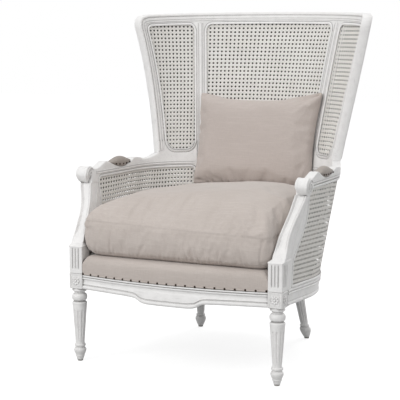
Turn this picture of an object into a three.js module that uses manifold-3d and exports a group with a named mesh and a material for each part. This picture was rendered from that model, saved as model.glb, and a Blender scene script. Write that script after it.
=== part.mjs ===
// A caned wing bergere: a horseshoe frame of moulded, painted wood with double caned
// panels, a sprung linen seat deck, a loose seat cushion and a loose lumbar pillow.
// Millimetres. +X is the sitter's left, the chair faces -Y, +Z is up.
// While the pieces are made, y = 0 is the axis of the front legs and z = 0 is the floor.

import * as THREE from 'three';
import { mergeVertices } from 'three/addons/utils/BufferGeometryUtils.js';
import Module from 'manifold-3d';

const wasm = await Module();
wasm.setup();

// Sizes

const CLEARANCE = 0.3; // between pieces that touch
const OVERRUN = 2; // how far cutters run past what they cut

// The shell in plan is a horseshoe: an ellipse round the back and straight, slightly
// flared sides. Angles are measured round the ellipse from the middle of the back.
const SEAT_PLAN = { level: 236, half: 359, depth: 455, centre: 184, flare: 0, stile: 32.3, wing: 55.1 };
const ARM_PLAN = { level: 618, half: 377, depth: 290, centre: 396, flare: 14, stile: 35.5, wing: 65.6 };
const TOP_PLAN = { level: 1042, half: 436, depth: 324, centre: 465, flare: 60, stile: 37.5, wing: 77.3 };

const FRAME_THICKNESS = 28; // stiles, crest and arm supports, across the shell
const RAIL_THICKNESS = 30; // seat rails and arm rails
const RAIL_PROUD = 3; // the seat rails stand out past the caned sides
const STILE_WIDTH = 30; // back stiles, along the shell
const WING_STILE_WIDTH = 34;

// Seat frame
const RAIL_BOTTOM = 235;
const RAIL_TOP = 285;
const SEAT_SLOPE_SHARE = 0.05; // the seat frame drops towards the back
const FRONT_FACE = 20; // front rail's face in front of the leg axis, at its ends
const FRONT_BOW = 36; // how far the front rail bows forward in the middle
const FRONT_DROP = 20; // deeper middle part of the front rail
// Places along half of it, from the block to the middle, and how much of the drop is there.
const FRONT_DROP_SHARES = [[1, 0], [0.8, 0], [0.62, 0.03], [0.46, 0.1], [0.36, 0.25], [0.28, 0.85], [0.16, 1]];
const FRONT_REBATE = 3; // step in the rail's face that takes the linen
const FRONT_REBATE_FROM = 281;
const FRONT_RAIL_TOP = 300;

// Legs
const BLOCK = 46; // square die and the fluted block above it
const BLOCK_PROUD = 2; // its outer face past the seat plan
const BLOCK_AXIS = SEAT_PLAN.half + BLOCK_PROUD - BLOCK / 2; // front leg axis from the middle of the chair
const FRONT_LEG_RADIUS = 23.7;
// Height as a share of the turned part, radius as a share of the leg's radius.
const FRONT_LEG_SHARES = [
  [0, 0.42], [0.03, 0.5], [0.17, 0.84], [0.205, 0.78], [0.225, 0.62], [0.235, 0.72], [0.26, 0.7],
  [0.272, 0.58], [0.31, 0.6, 1], [0.71, 0.86, 1], [0.735, 0.9], [0.77, 1], [0.825, 1],
  [0.84, 0.85], [0.855, 0.94], [0.88, 1], [0.91, 0.96], [0.93, 0.84], [0.955, 0.84], [1, 0.95],
];
const REAR_LEG_RADIUS = 20.5;
const REAR_LEG_SHARES = [
  [0, 0.44], [0.02, 0.5], [0.13, 0.92], [0.17, 0.86], [0.185, 0.68], [0.195, 0.76], [0.215, 0.74],
  [0.225, 0.62], [0.26, 0.64, 1], [0.72, 0.84, 1], [0.78, 0.9], [1, 1],
];
const FLUTE_SHARE = 0.88; // radius in a flute over the radius beside it
const LEG_SIDES = 12;
const REAR_SPLAY = { x: 22.938, y: 46.735 }; // the rear foot from its head, outwards and back
const GLIDE = { radius: 8.5, height: 4 };
const POST_BLOCK = 44; // back stile's square foot, on which the rear leg is dowelled
const DOWEL = { radius: 9, length: 24 };

// Fluted block and swept arm support: shares of the height from the die to the arm,
// of the sweep of its front, of the sweep of its rear edge, and of the block's width.
const ARM_JOINT = 554;
const SUPPORT_SWEEP = 117;
const SUPPORT_REAR_SWEEP = 125;
const SUPPORT_STEP = 8; // from the thick front of the support to its thin caned part
const SUPPORT_FLARE = 9; // the top of the support leans out under the scroll
const SUPPORT_SHARES = [
  [0, 0, 0.25, 1], [0.205, 0, 0.25, 1], [0.31, 0, 0.27, 1], [0.345, 0.12, 0.31, 0.96],
  [0.395, 0.2, 0.4, 0.95], [0.483, 0.32, 0.58, 0.93], [0.577, 0.436, 0.77, 0.91],
  [0.688, 0.624, 0.93, 0.88], [0.832, 0.83, 1, 0.84], [1, 1, 0.96, 0.83],
];
const FLUTE = { width: 5, depth: 2.5, pitch: 12, count: 3, margin: 12 };

// Arm rail: scroll, rise to the pad, the hollow that the pad fills, and the rise to the wing.
const ARM_LOW = 578; // top of the caned side
const SCROLL = { radius: 28, width: 40, y: 105, out: 8.728 }; // out: from the arm rail's middle
const ARM_TOP = 607;
const ARM_RISE = 22; // highest wood beside the pad above the lowest
const PAD_START = 222;
const PAD_LENGTH = 160;
const PAD_SINK = 14; // how far the wood dips under the pad, below the arm's top
const PAD_CROWN = 22; // pad above the arm's top
const PAD_BULGE = 3;
// Half of the pad's section: place across the arm, height, and how much of the bulge is there.
const PAD_SECTION_SHARES = [[0, 0, 0], [0, 0.12, 1], [0, 0.62, 1], [0.2, 0.93, 0], [0.45, 1, 0]];
// Places along the arm from the scroll to the wing: y as a share of that run, height as a share of the rise.
const ARM_FRONT_SHARES = [[0.02, -0.3], [0.09, -0.36], [0.15, -0.1], [0.2, 0.25], [0.25, 0.5]];
const ARM_REAR_SHARES = [[0.8, 0.18], [0.82, -0.08], [0.9, 0], [0.95, 0.22]];

// Wing, crest and the openings for the cane
const WING_LOW = 621;
const WING_CORNER = 40; // rounding at the foot of the wing panel
const WING_FOOT_RISE = 14; // small hollow between arm and wing
const CREST_TOP = 1106;
const CREST_ARCH = 13;
const CREST_FACE = 33;
const CREST_JOINT = 1038;
const CREST_CORNER = 45; // outer rounding of the wing's top
const PANEL_CORNER = 28; // inner rounding under the crest
const SQUARE_CORNER = 6; // rounding of the panels' corners on the seat rails
const ARM_CORNER = ARM_LOW - ARM_JOINT;

// Cane: two sheets in each opening, each held by a reed pressed in from its own face
const SHEET_THICKNESS = 2.5;
const SPLINE_WIDTH = 8;
const SPLINE_THICKNESS = 3.6;
const SPLINE_PROUD = 1;

// Joints in the wood
const TENON = { length: 12, thickness: 10, height: 24 };
const FRONT_TENON = { length: 18, thickness: 12, height: 30 };
const STUB_TENON = { width: 20, length: 18 };

// Seat
const CORNER_BLOCK = { height: 28, bottom: 246, reach: 60, depth: 33 };
const DUST_COVER = 1.5; // thickness
const WEB = { width: 52, thickness: 3, level: 276, count: 5, pitch: 104, middle: 280 };
const HEM = 289; // lower edge of the deck's linen at the sides and the back
const SKIRT = 283.5; // lower edge of the deck's linen in front
const DECK_TOP = 345;
const DECK_FABRIC = 2;
const DECK_FACE = 0.7; // the linen's face behind the front rail's face
// Rounded edge of the deck: height below its top and inset, as shares of the rounding.
const DECK_ROUND = 14;
const DECK_ROUND_SHARES = [[1, 0], [0.35, 0.25], [0, 1]];
const SEAT_MARGIN = 3.5; // between the upholstery and the shell
const NAIL = { radius: 3.6, height: 2, sides: 6, count: 21, level: 285, band: 6, tape: 1 };
const PAD_NAIL_COUNT = 5; // along each side of an arm pad
const PAD_NAIL_SHARE = 0.3; // their height as a share of the pad's

// Seat cushion: its outline, and rings as shares of its height and insets from the outline
const CUSHION_FRONT = 24; // front face of the cushion before the leg axis
const CUSHION_GAP = 4; // between the cushion's front and the arm supports
const CUSHION_CORNER = 30;
const CUSHION_HEIGHT = 160; // beside the arms
const CUSHION_CROWN = 40; // middle above the sides
const CUSHION_NOSE = { drop: 30, length: 150 }; // its front is rounded down
const CUSHION_RINGS = [
  [0, 22], [0.05, 7], [0.2, 0], [0.5, 0], [0.62, 4], [0.7, 0], [0.86, 4], [0.96, 14], [1, 30],
];
const CROWN_SHARES = [0.25, 0.6, 1];
const CUSHION_FRONT_SHARES = [0.3, 0.7];
const CUSHION_STEPS = 8;
const CROWN_INSET = 200;
const FILL_WALL = 3; // cloth of the cushion and pillow covers
const SLIT = { width: 160, height: 1.4, reach: 40, level: 0.62 }; // opening in a cover's seam
// Half sizes; the rise of its middle over the cushion's sides, and its seam before the shell.
const PILLOW = { half: 218, height: 162.5, thick: 62, rise: 162.25, seam: 63.6, lean: 11.5, edge: 3 };
const PILLOW_NIP_SHARE = 0.07; // how far its edges are drawn in
const PILLOW_SHARES = [0, 0.3, 0.58, 0.8, 0.93, 1];
const PILLOW_INSET = 14; // from the pillow's edge to the fill's

// Shell geometry

const QUARTER = 90;
const LEVEL_STEPS = 5; // rounds in which a height that depends on its own place settles
const PLANS = [SEAT_PLAN, ARM_PLAN, TOP_PLAN];
const lerp = THREE.MathUtils.lerp;
const rad = THREE.MathUtils.degToRad;

/** A plan value at any height, through its values at the seat, the arm and the top. */
function planAt(key, z) {
  return PLANS.reduce((sum, p) => {
    const weight = PLANS.filter((q) => q !== p)
      .reduce((w, q) => (w * (z - q.level)) / (p.level - q.level), 1);
    return sum + weight * p[key];
  }, 0);
}

/** Point of the shell at angle t and height z, at depth w inside its outer face. */
function shell(t, z, w = 0) {
  const side = t < 0 ? -1 : 1;
  const turn = Math.abs(t);
  const half = planAt('half', z);
  const centre = planAt('centre', z);
  if (turn > QUARTER) {
    const along = (turn - QUARTER) / QUARTER;
    return new THREE.Vector3(side * (half + planAt('flare', z) * along - w), centre * (1 - along), z);
  }
  const depth = planAt('depth', z);
  const sin = Math.sin(rad(turn));
  const cos = Math.cos(rad(turn));
  const slope = Math.hypot(sin / half, cos / depth);
  return new THREE.Vector3(
    side * (half * sin - (w * sin) / half / slope),
    centre + depth * cos - (w * cos) / depth / slope,
    z,
  );
}

/** Angle on the straight side at which the shell has the given y. */
const angleAtY = (y, z) => QUARTER * (2 - y / planAt('centre', z));

/** Angle reached from t by going a length round the shell, towards the front if it is positive. */
function shift(t, z, length) {
  const step = 0.5;
  const speed = shell(t + step, z).distanceTo(shell(t - step, z));
  return t + length / speed;
}

const stileFront = (z) => shift(planAt('stile', z), z, STILE_WIDTH / 2);
const stileRear = (z) => shift(planAt('stile', z), z, -STILE_WIDTH / 2);
const wingFront = (z) => planAt('wing', z);
const wingInner = (z) => shift(wingFront(z), z, -WING_STILE_WIDTH);

const blockRear = BLOCK / 2;
const supportFoot = blockRear + SUPPORT_SHARES[0][2] * SUPPORT_REAR_SWEEP;
/** How far the seat frame has dropped at y. */
const seatDrop = (y) => SEAT_SLOPE_SHARE * Math.max(0, y - supportFoot);

/** Height at angle t of a level that falls towards the back. */
function fallen(t, level, drop) {
  let z = level;
  for (let i = 0; i < LEVEL_STEPS; i += 1) z = level - drop(shell(t, z).y);
  return z;
}
const seatLevel = (t, level) => fallen(t, level, seatDrop);

const blockFront = (z) => shift(planAt('stile', z), z, POST_BLOCK / 2);
const blockBack = (z) => shift(planAt('stile', z), z, -POST_BLOCK / 2);

/** Where an upright edge meets a level of the seat frame. */
function seatEnd(edge, level) {
  let z = level;
  for (let i = 0; i < LEVEL_STEPS; i += 1) z = seatLevel(edge(z), level);
  return [edge(z), z];
}
const crestTop = (t) => CREST_TOP - CREST_ARCH * (t / TOP_PLAN.wing) ** 2;

const supportRings = SUPPORT_SHARES.map(([h, front, rear, width]) => ({
  z: lerp(RAIL_TOP, ARM_JOINT, h),
  front: -blockRear + front * SUPPORT_SWEEP,
  rear: blockRear + rear * SUPPORT_REAR_SWEEP,
  width: width * BLOCK,
  flare: front ** 3 * SUPPORT_FLARE,
}));

/** Angle of the arm support's rear edge, the front edge of the caned side. */
function supportRear(z) {
  if (z >= ARM_JOINT) return angleAtY(supportRings.at(-1).rear, z);
  const next = supportRings.findIndex((r) => r.z >= z);
  if (next === 0) return angleAtY(supportRings[0].rear, z);
  const [a, b] = [supportRings[next - 1], supportRings[next]];
  return angleAtY(lerp(a.rear, b.rear, (z - a.z) / (b.z - a.z)), z);
}

// Solids

function geometryFrom(points, triangles) {
  const geometry = new THREE.BufferGeometry();
  geometry.setAttribute('position', new THREE.Float32BufferAttribute(points.flatMap((p) => [p.x, p.y, p.z]), 3));
  const six = (a, b, c) => points[a].dot(new THREE.Vector3().crossVectors(points[b], points[c]));
  const volume = triangles.reduce((sum, [a, b, c]) => sum + six(a, b, c), 0);
  geometry.setIndex(triangles.flatMap(([a, b, c]) => (volume < 0 ? [a, c, b] : [a, b, c])));
  return geometry;
}

/** Solid through a row of rings of equal length, open with flat ends or closed on itself. */
function loft(rings, closed = false) {
  const count = rings[0].length;
  const triangles = [];
  const last = closed ? rings.length : rings.length - 1;
  for (let i = 0; i < last; i += 1) {
    const a = i * count;
    const b = ((i + 1) % rings.length) * count;
    for (let j = 0; j < count; j += 1) {
      const k = (j + 1) % count;
      triangles.push([a + j, a + k, b + k], [a + j, b + k, b + j]);
    }
  }
  if (!closed) {
    const end = (rings.length - 1) * count;
    for (let j = 0; j < count / 2 - 1; j += 1) {
      const k = count - 1 - j;
      triangles.push([j, k, j + 1], [j + 1, k, k - 1]);
      triangles.push([end + j, end + j + 1, end + k], [end + j + 1, end + k - 1, end + k]);
    }
  }
  return geometryFrom(rings.flat(), triangles);
}

/** Piece of the shell between two edges, each a list of [angle, height], from depth w0 to w1. */
function strip(lower, upper, w0, w1) {
  const all = [...lower, ...upper];
  const flat = all.map(([t, z]) => shell(t, z));
  const points = [...all.map(([t, z]) => shell(t, z, w0)), ...all.map(([t, z]) => shell(t, z, w1))];
  const n = all.length;
  const top = lower.length;
  const triangles = [];
  // Both walls of a joint are split along the same diagonal, so that they stay parallel.
  const wall = (a, b) => triangles.push([a, a + n, b + n], [a, b + n, b]);
  const wallBack = (a, b) => triangles.push([a, a + n, b], [a + n, b + n, b]);
  let i = 0;
  let j = 0;
  while (i < lower.length - 1 || j < upper.length - 1) {
    const canLower = i < lower.length - 1;
    const canUpper = j < upper.length - 1;
    const ahead = canLower ? flat[i + 1].distanceTo(flat[top + j]) : Infinity;
    const above = canUpper ? flat[i].distanceTo(flat[top + j + 1]) : Infinity;
    if (ahead <= above) {
      triangles.push([i, i + 1, top + j], [i + n, top + j + n, i + 1 + n]);
      wall(i, i + 1);
      i += 1;
    } else {
      triangles.push([i, top + j + 1, top + j], [i + n, top + j + n, top + j + 1 + n]);
      wallBack(top + j + 1, top + j);
      j += 1;
    }
  }
  wallBack(top, 0);
  wall(i, top + j);
  return geometryFrom(points, triangles);
}

/** Block of the shell between two angles and two heights: a tenon, or with grow its mortise. */
function patch({ rear, front, low, high, w0, w1 }, grow = 0) {
  const edge = (angle, sign) => [low - grow, high + grow].map((z) => [shift(angle(z), z, sign * grow), z]);
  return strip(edge(rear, -1), edge(front, 1), w0 - grow, w1 + grow);
}

function toSolid(geometry) {
  const bare = geometry.clone();
  bare.deleteAttribute('normal');
  bare.deleteAttribute('uv');
  const merged = mergeVertices(bare);
  return new wasm.Manifold(new wasm.Mesh({
    numProp: 3,
    vertProperties: new Float32Array(merged.attributes.position.array),
    triVerts: new Uint32Array(merged.index.array),
  }));
}

function fromSolid(solid) {
  const mesh = solid.getMesh();
  const geometry = new THREE.BufferGeometry();
  geometry.setAttribute('position', new THREE.BufferAttribute(new Float32Array(mesh.vertProperties), 3));
  geometry.setIndex(new THREE.BufferAttribute(new Uint32Array(mesh.triVerts), 1));
  return geometry;
}

const join = (geometry, ...others) =>
  fromSolid(others.reduce((solid, other) => solid.add(toSolid(other)), toSolid(geometry)));
const cut = (geometry, ...others) =>
  fromSolid(others.reduce((solid, other) => solid.subtract(toSolid(other)), toSolid(geometry)));
const common = (geometry, other) => fromSolid(toSolid(geometry).intersect(toSolid(other)));

/** Box between two corners, with grow added all round. */
function box([x0, x1], [y0, y1], [z0, z1], grow = 0) {
  const geometry = new THREE.BoxGeometry(x1 - x0 + 2 * grow, y1 - y0 + 2 * grow, z1 - z0 + 2 * grow);
  return geometry.translate((x0 + x1) / 2, (y0 + y1) / 2, (z0 + z1) / 2);
}

/** Upright cylinder standing on z0. */
function post(x, y, z0, z1, radius, sides = LEG_SIDES) {
  return new THREE.CylinderGeometry(radius, radius, z1 - z0, sides)
    .rotateX(Math.PI / 2).translate(x, y, (z0 + z1) / 2);
}

/** Plate with a plan outline of [x, y] points, between two heights. */
function plate(outline, z0, z1) {
  const shape = new THREE.Shape(outline.map(([x, y]) => new THREE.Vector2(x, y)));
  return new THREE.ExtrudeGeometry(shape, { depth: z1 - z0, bevelEnabled: false }).translate(0, 0, z0);
}

/** Moves a solid's points: each point goes through the given function. */
function reshape(geometry, move) {
  const place = geometry.attributes.position;
  const point = new THREE.Vector3();
  for (let i = 0; i < place.count; i += 1) {
    move(point.fromBufferAttribute(place, i));
    place.setXYZ(i, point.x, point.y, point.z);
  }
  return geometry;
}

/** Mirror image across the middle of the chair. */
function mirrored(geometry) {
  const other = geometry.clone().scale(-1, 1, 1);
  const index = other.index.array;
  for (let i = 0; i < index.length; i += 3) [index[i + 1], index[i + 2]] = [index[i + 2], index[i + 1]];
  return other;
}

/** Fall of the seat's inner parts and deck at y: one plane, from the front rail to the rear rail. */
function deckDrop(y) {
  const front = -FRONT_FACE - FRONT_BOW;
  const rear = shell(0, RAIL_BOTTOM).y;
  return (seatDrop(rear) * (y - front)) / (rear - front);
}
const deckLevel = (t, level) => fallen(t, level, deckDrop);
const followDeck = (geometry) => reshape(geometry, (p) => { p.z -= deckDrop(p.y); });

// Openings for the cane

const ARC_STEPS = 3;
const LEVEL_SHARES = [0.14, 0.3, 0.46, 0.62, 0.75, 0.87];
const tallLevels = LEVEL_SHARES.map((s) => lerp(RAIL_TOP, CREST_JOINT, s));
const supportLevels = supportRings.map((r) => r.z);

/**
 * Outline of an opening between two upright edges (angle as a function of height) and a
 * lower and upper edge (height as a function of angle), as four lists of [angle, height].
 * Its corners are rounded; the upper ones drop to the joint of the upright below them.
 */
function opening({ rear, front, low, high, lowCorner, highCorner, highDrop, levels, columns }) {
  const corner = (edge, inward, line, radius, rise) =>
    Array.from({ length: ARC_STEPS + 1 }, (_, i) => {
      const turn = (Math.PI / 2) * (i / ARC_STEPS);
      let z = line(edge(ARM_JOINT));
      let t = edge(z);
      for (let k = 0; k < LEVEL_STEPS; k += 1) {
        z = line(t) + rise(t) * (1 - Math.sin(turn));
        t = shift(edge(z), z, inward * radius * (1 - Math.cos(turn)));
      }
      return [t, z];
    });
  const between = (a, b, line) => columns.map((share) => {
    const t = lerp(a[0], b[0], share);
    return [t, line(t)];
  });
  const lowRise = () => lowCorner;
  const highRise = (t) => -highDrop(t);
  const lowRear = corner(rear, 1, low, lowCorner, lowRise);
  const lowFront = corner(front, -1, low, lowCorner, lowRise).reverse();
  const highRear = corner(rear, 1, high, highCorner, highRise);
  const highFront = corner(front, -1, high, highCorner, highRise).reverse();
  const floor = Math.max(lowRear[0][1], lowFront.at(-1)[1]);
  const inside = levels.filter((z) => z > floor && z < highRear[0][1]).sort((a, b) => a - b);
  return {
    bottom: [...lowRear, ...between(lowRear.at(-1), lowFront[0], low), ...lowFront],
    front: inside.map((z) => [front(z), z]),
    top: [...highRear, ...between(highRear.at(-1), highFront[0], high), ...highFront],
    rear: inside.map((z) => [rear(z), z]),
  };
}

/** The same outline moved inwards by a length, vertex by vertex. */
function insetOpening(o, length) {
  const loop = [...o.bottom, ...o.front, ...[...o.top].reverse(), ...[...o.rear].reverse()];
  const moved = loop.map(([t, z], i) => {
    const [before, after] = [loop.at(i - 1), loop[(i + 1) % loop.length]];
    const scale = 1 / (shift(t, z, 1) - t);
    const direction = (a, b) => new THREE.Vector2((b[0] - a[0]) * scale, b[1] - a[1]).normalize();
    const along = direction(before, [t, z]);
    const ahead = direction([t, z], after);
    const normal = along.clone().add(ahead).normalize();
    const reach = length / Math.sqrt((1 + along.dot(ahead)) / 2);
    return [t - (normal.y * reach) / scale, z + normal.x * reach];
  });
  const take = (count) => moved.splice(0, count);
  return {
    bottom: take(o.bottom.length),
    front: take(o.front.length),
    top: take(o.top.length).reverse(),
    rear: take(o.rear.length).reverse(),
  };
}

const centreSpec = {
  rear: (z) => -stileRear(z),
  front: stileRear,
  low: (t) => seatLevel(t, RAIL_TOP),
  high: (t) => crestTop(t) - CREST_FACE,
  lowCorner: SQUARE_CORNER,
  highCorner: PANEL_CORNER,
  highDrop: (t) => crestTop(t) - CREST_FACE - CREST_JOINT,
  levels: tallLevels,
  columns: [0.14, 0.28, 0.43, 0.57, 0.72, 0.86],
};
const wingSpec = {
  ...centreSpec,
  rear: stileFront,
  front: wingInner,
  low: () => WING_LOW,
  lowCorner: WING_CORNER,
  columns: [0.33, 0.67],
};
const sideSpec = {
  ...centreSpec,
  rear: stileFront,
  front: supportRear,
  high: () => ARM_LOW,
  highCorner: ARM_CORNER,
  highDrop: () => ARM_CORNER,
  levels: supportLevels,
  columns: [0.11, 0.22, 0.33, 0.44, 0.7],
};
const centre = opening(centreSpec);
const wing = opening(wingSpec);
const side = opening(sideSpec);

/** Reed round an opening: a closed run of four-sided sections just inside its edge. */
function spline(outline, w0, w1) {
  const loops = [CLEARANCE, SPLINE_WIDTH].map((length) => {
    const o = insetOpening(outline, length);
    return [...o.bottom, ...o.front, ...o.top.reverse(), ...o.rear.reverse()];
  });
  const [outer, inner] = loops;
  return loft(outer.map(([t, z], i) => [
    shell(t, z, w0), shell(...inner[i], w0), shell(...inner[i], w1), shell(t, z, w1),
  ]), true);
}

/** Thin curved sheet of cane inside the reed. */
function sheet(outline, w0) {
  const o = insetOpening(outline, SPLINE_WIDTH + CLEARANCE);
  const share = ([t], line) => (t - line[0][0]) / (line.at(-1)[0] - line[0][0]);
  const rows = o.rear.map((rear, k) => [rear, o.front[k], (k + 1) / (o.rear.length + 1)]);
  const rings = o.bottom.map((low, i) => {
    const high = o.top[i];
    const column = [low, ...rows.map(([rear, front, height]) => {
      const v = lerp(share(low, o.bottom), share(high, o.top), height);
      return [lerp(rear[0], front[0], v), lerp(rear[1], front[1], v)];
    }), high];
    return [
      ...column.map(([t, z]) => shell(t, z, w0)),
      ...column.reverse().map(([t, z]) => shell(t, z, w0 + SHEET_THICKNESS)),
    ];
  });
  return loft(rings);
}

// Materials

const paint = { color: 0xdedbd7, roughness: 0.62, metalness: 0 };
const LOOKS = {
  painted_wood: paint,
  raw_wood: { color: 0xb08a5c, roughness: 0.8, metalness: 0 },
  cane: { color: 0xe1ddd6, roughness: 0.7, metalness: 0 },
  linen: { color: 0xc8bcb4, roughness: 0.92, metalness: 0 },
  foam: { color: 0xe9dfb8, roughness: 0.95, metalness: 0 },
  webbing: { color: 0x9a7b52, roughness: 0.9, metalness: 0 },
  black_cloth: { color: 0x222222, roughness: 0.95, metalness: 0 },
  nail: { color: 0x3a322c, roughness: 0.45, metalness: 0.8 },
  nylon: { color: 0x55504a, roughness: 0.6, metalness: 0 },
};

const chair = new THREE.Group();

function add(name, geometry, look) {
  const mesh = new THREE.Mesh(geometry, new THREE.MeshStandardMaterial(LOOKS[look]));
  mesh.name = name;
  chair.add(mesh);
}

/** Adds a piece made for +X as the left one, and its mirror image as the right one. */
function addPair(name, geometry, look) {
  add(`${name}_left`, geometry, look);
  add(`${name}_right`, mirrored(geometry), look);
}

// Legs

/** Turned leg: rings that follow a leaning axis, fluted where a profile entry says so. */
function turned(shares, radius, foot, head) {
  const rings = shares.map(([h, r, fluted]) => Array.from({ length: LEG_SIDES }, (_, i) => {
    const angle = (2 * Math.PI * i) / LEG_SIDES;
    const reach = radius * r * (fluted && i % 2 ? FLUTE_SHARE : 1);
    return new THREE.Vector3(
      lerp(foot.x, head.x, h) + reach * Math.cos(angle),
      lerp(foot.y, head.y, h) + reach * Math.sin(angle),
      lerp(foot.z, head.z, h),
    );
  }));
  return loft(rings);
}

const glideTop = GLIDE.height;
const footAt = (x, y) => ({ x, y, z: glideTop + CLEARANCE });
const dieX = [BLOCK_AXIS - BLOCK / 2, BLOCK_AXIS + BLOCK / 2];
const dieY = [-blockRear, blockRear];

const frontTenon = [[dieX[0], dieX[0] + FRONT_TENON.length],
  [-FRONT_FACE + RAIL_THICKNESS / 2 - FRONT_TENON.thickness / 2,
    -FRONT_FACE + RAIL_THICKNESS / 2 + FRONT_TENON.thickness / 2],
  [(RAIL_BOTTOM + RAIL_TOP - FRONT_TENON.height) / 2, (RAIL_BOTTOM + RAIL_TOP + FRONT_TENON.height) / 2]];
const tenonMiddle = (thickness) => [(thickness - TENON.thickness) / 2, (thickness + TENON.thickness) / 2];
const [sideW0, sideW1] = tenonMiddle(RAIL_THICKNESS);
const sideFrontTenon = {
  rear: (z) => angleAtY(blockRear + OVERRUN, z),
  front: (z) => angleAtY(blockRear - TENON.length, z),
  low: (RAIL_BOTTOM + RAIL_TOP - TENON.height) / 2,
  high: (RAIL_BOTTOM + RAIL_TOP + TENON.height) / 2,
  w0: sideW0,
  w1: sideW1,
};
const stub = [BLOCK_AXIS - STUB_TENON.width / 2, BLOCK_AXIS + STUB_TENON.width / 2];
const stubY = [-STUB_TENON.width / 2, STUB_TENON.width / 2];

const frontTurned = turned(FRONT_LEG_SHARES, FRONT_LEG_RADIUS, footAt(BLOCK_AXIS, 0),
  { x: BLOCK_AXIS, y: 0, z: RAIL_BOTTOM + OVERRUN });
addPair('front_leg', cut(
  join(frontTurned, box(dieX, dieY, [RAIL_BOTTOM, RAIL_TOP]),
    box(stub, stubY, [RAIL_TOP - OVERRUN, RAIL_TOP + STUB_TENON.length])),
  box(...frontTenon, CLEARANCE),
  patch(sideFrontTenon, CLEARANCE),
), 'painted_wood');
const rearHead = shell(SEAT_PLAN.stile, RAIL_BOTTOM, POST_BLOCK / 2);
const rearFoot = { x: rearHead.x + REAR_SPLAY.x, y: rearHead.y + REAR_SPLAY.y };
const rearTop = Math.min(seatEnd(blockBack, RAIL_BOTTOM)[1], seatEnd(blockFront, RAIL_BOTTOM)[1]) - CLEARANCE;
addPair('rear_leg', join(
  turned(REAR_LEG_SHARES, REAR_LEG_RADIUS, footAt(rearFoot.x, rearFoot.y),
    { x: rearHead.x, y: rearHead.y, z: rearTop }),
  post(rearHead.x, rearHead.y, rearTop - OVERRUN, rearTop + DOWEL.length, DOWEL.radius),
), 'painted_wood');
addPair('front_glide', post(BLOCK_AXIS, 0, 0, glideTop, GLIDE.radius), 'nylon');
addPair('rear_glide', post(rearFoot.x, rearFoot.y, 0, glideTop, GLIDE.radius), 'nylon');


// Seat frame

const bow = (x) => FRONT_FACE + FRONT_BOW * (1 - (x / dieX[0]) ** 2);
const frontReach = dieX[0] - CLEARANCE;
const frontStations = FRONT_DROP_SHARES.map(([s]) => s * frontReach).reverse();
/** Face of the front rail at x, which is flat between the stations. */
function railFace(x) {
  const place = Math.max(Math.abs(x), frontStations[0]);
  const next = Math.max(1, frontStations.findIndex((station) => station >= place - CLEARANCE));
  const [a, b] = [frontStations[next - 1], frontStations[next]];
  return -lerp(bow(a), bow(b), (place - a) / (b - a));
}
const mirrorX = (points) => [...points].reverse().map(([x, ...rest]) => [-x, ...rest]);

/** Front rail without its tenons, or with grow the space that it needs. */
const frontRail = (grow = 0) => {
  const half = FRONT_DROP_SHARES.map(([s, drop]) => {
    const x = s * frontReach;
    return [x, -bow(x) - grow, -bow(x) + RAIL_THICKNESS + grow, RAIL_BOTTOM - drop * FRONT_DROP - grow];
  });
  const top = FRONT_RAIL_TOP + grow;
  return loft([...half, ...mirrorX(half)].map(([x, face, back, low]) => [
    [face, low], [face, FRONT_REBATE_FROM], [face + FRONT_REBATE, FRONT_REBATE_FROM],
    [face + FRONT_REBATE, top], [back, top], [back, low],
  ].map(([y, z]) => new THREE.Vector3(x, y, z))));
};
const frontTenonIn = [[frontReach - OVERRUN, frontTenon[0][1]], frontTenon[1], frontTenon[2]];
const frontTenonOut = [[-frontTenonIn[0][1], -frontTenonIn[0][0]], frontTenon[1], frontTenon[2]];
add('front_seat_rail', join(frontRail(), box(...frontTenonIn), box(...frontTenonOut)), 'painted_wood');

const grown = (edge, length) => (z) => shift(edge(z), z, length);
const clear = (edge, sign) => grown(edge, sign * CLEARANCE);
const dieBack = (z) => angleAtY(blockRear + CLEARANCE, z);
const seatRun = (from, to, level) => {
  const a = seatEnd(from, level);
  const b = seatEnd(to, level);
  const count = Math.max(2, Math.ceil(Math.abs(b[0] - a[0]) / 9));
  const between = Array.from({ length: count - 1 }, (_, i) => lerp(a[0], b[0], (i + 1) / count));
  return [a, ...between.map((t) => [t, seatLevel(t, level)]), b];
};
/** Upper edge of a rail: its own ends, and the opening's edge between them. */
const railTop = (from, inner, to) => {
  const start = seatEnd(from, RAIL_TOP);
  const end = seatEnd(to, RAIL_TOP);
  const level = ([t, z]) => t > start[0] && t < end[0] && z - seatLevel(t, RAIL_TOP) < CLEARANCE;
  return [start, ...inner.filter(level), end];
};
const railTenon = (rear, front, slope) => ({
  rear,
  front,
  low: (RAIL_BOTTOM + RAIL_TOP - TENON.height) / 2 - slope,
  high: (RAIL_BOTTOM + RAIL_TOP + TENON.height) / 2 - slope,
  w0: sideW0,
  w1: sideW1,
});
const postDrop = seatDrop(shell(SEAT_PLAN.stile, SEAT_PLAN.level).y);
const into = (edge, sign) => grown(edge, sign * TENON.length);
const beyond = (edge, sign) => grown(edge, sign * OVERRUN);
const sideRearTenon = railTenon(into(blockFront, -1), beyond(blockFront, 1), postDrop);
const rearTenon = railTenon(beyond(blockBack, -1), into(blockBack, 1), postDrop);

const sideRail = (grow = 0) => {
  const end = grown(blockFront, CLEARANCE - grow);
  return strip(seatRun(end, dieBack, RAIL_BOTTOM), railTop(end, side.bottom, dieBack),
    -RAIL_PROUD, RAIL_THICKNESS + grow);
};
addPair('side_seat_rail', join(sideRail(), patch(sideFrontTenon), patch(sideRearTenon)), 'painted_wood');

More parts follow.
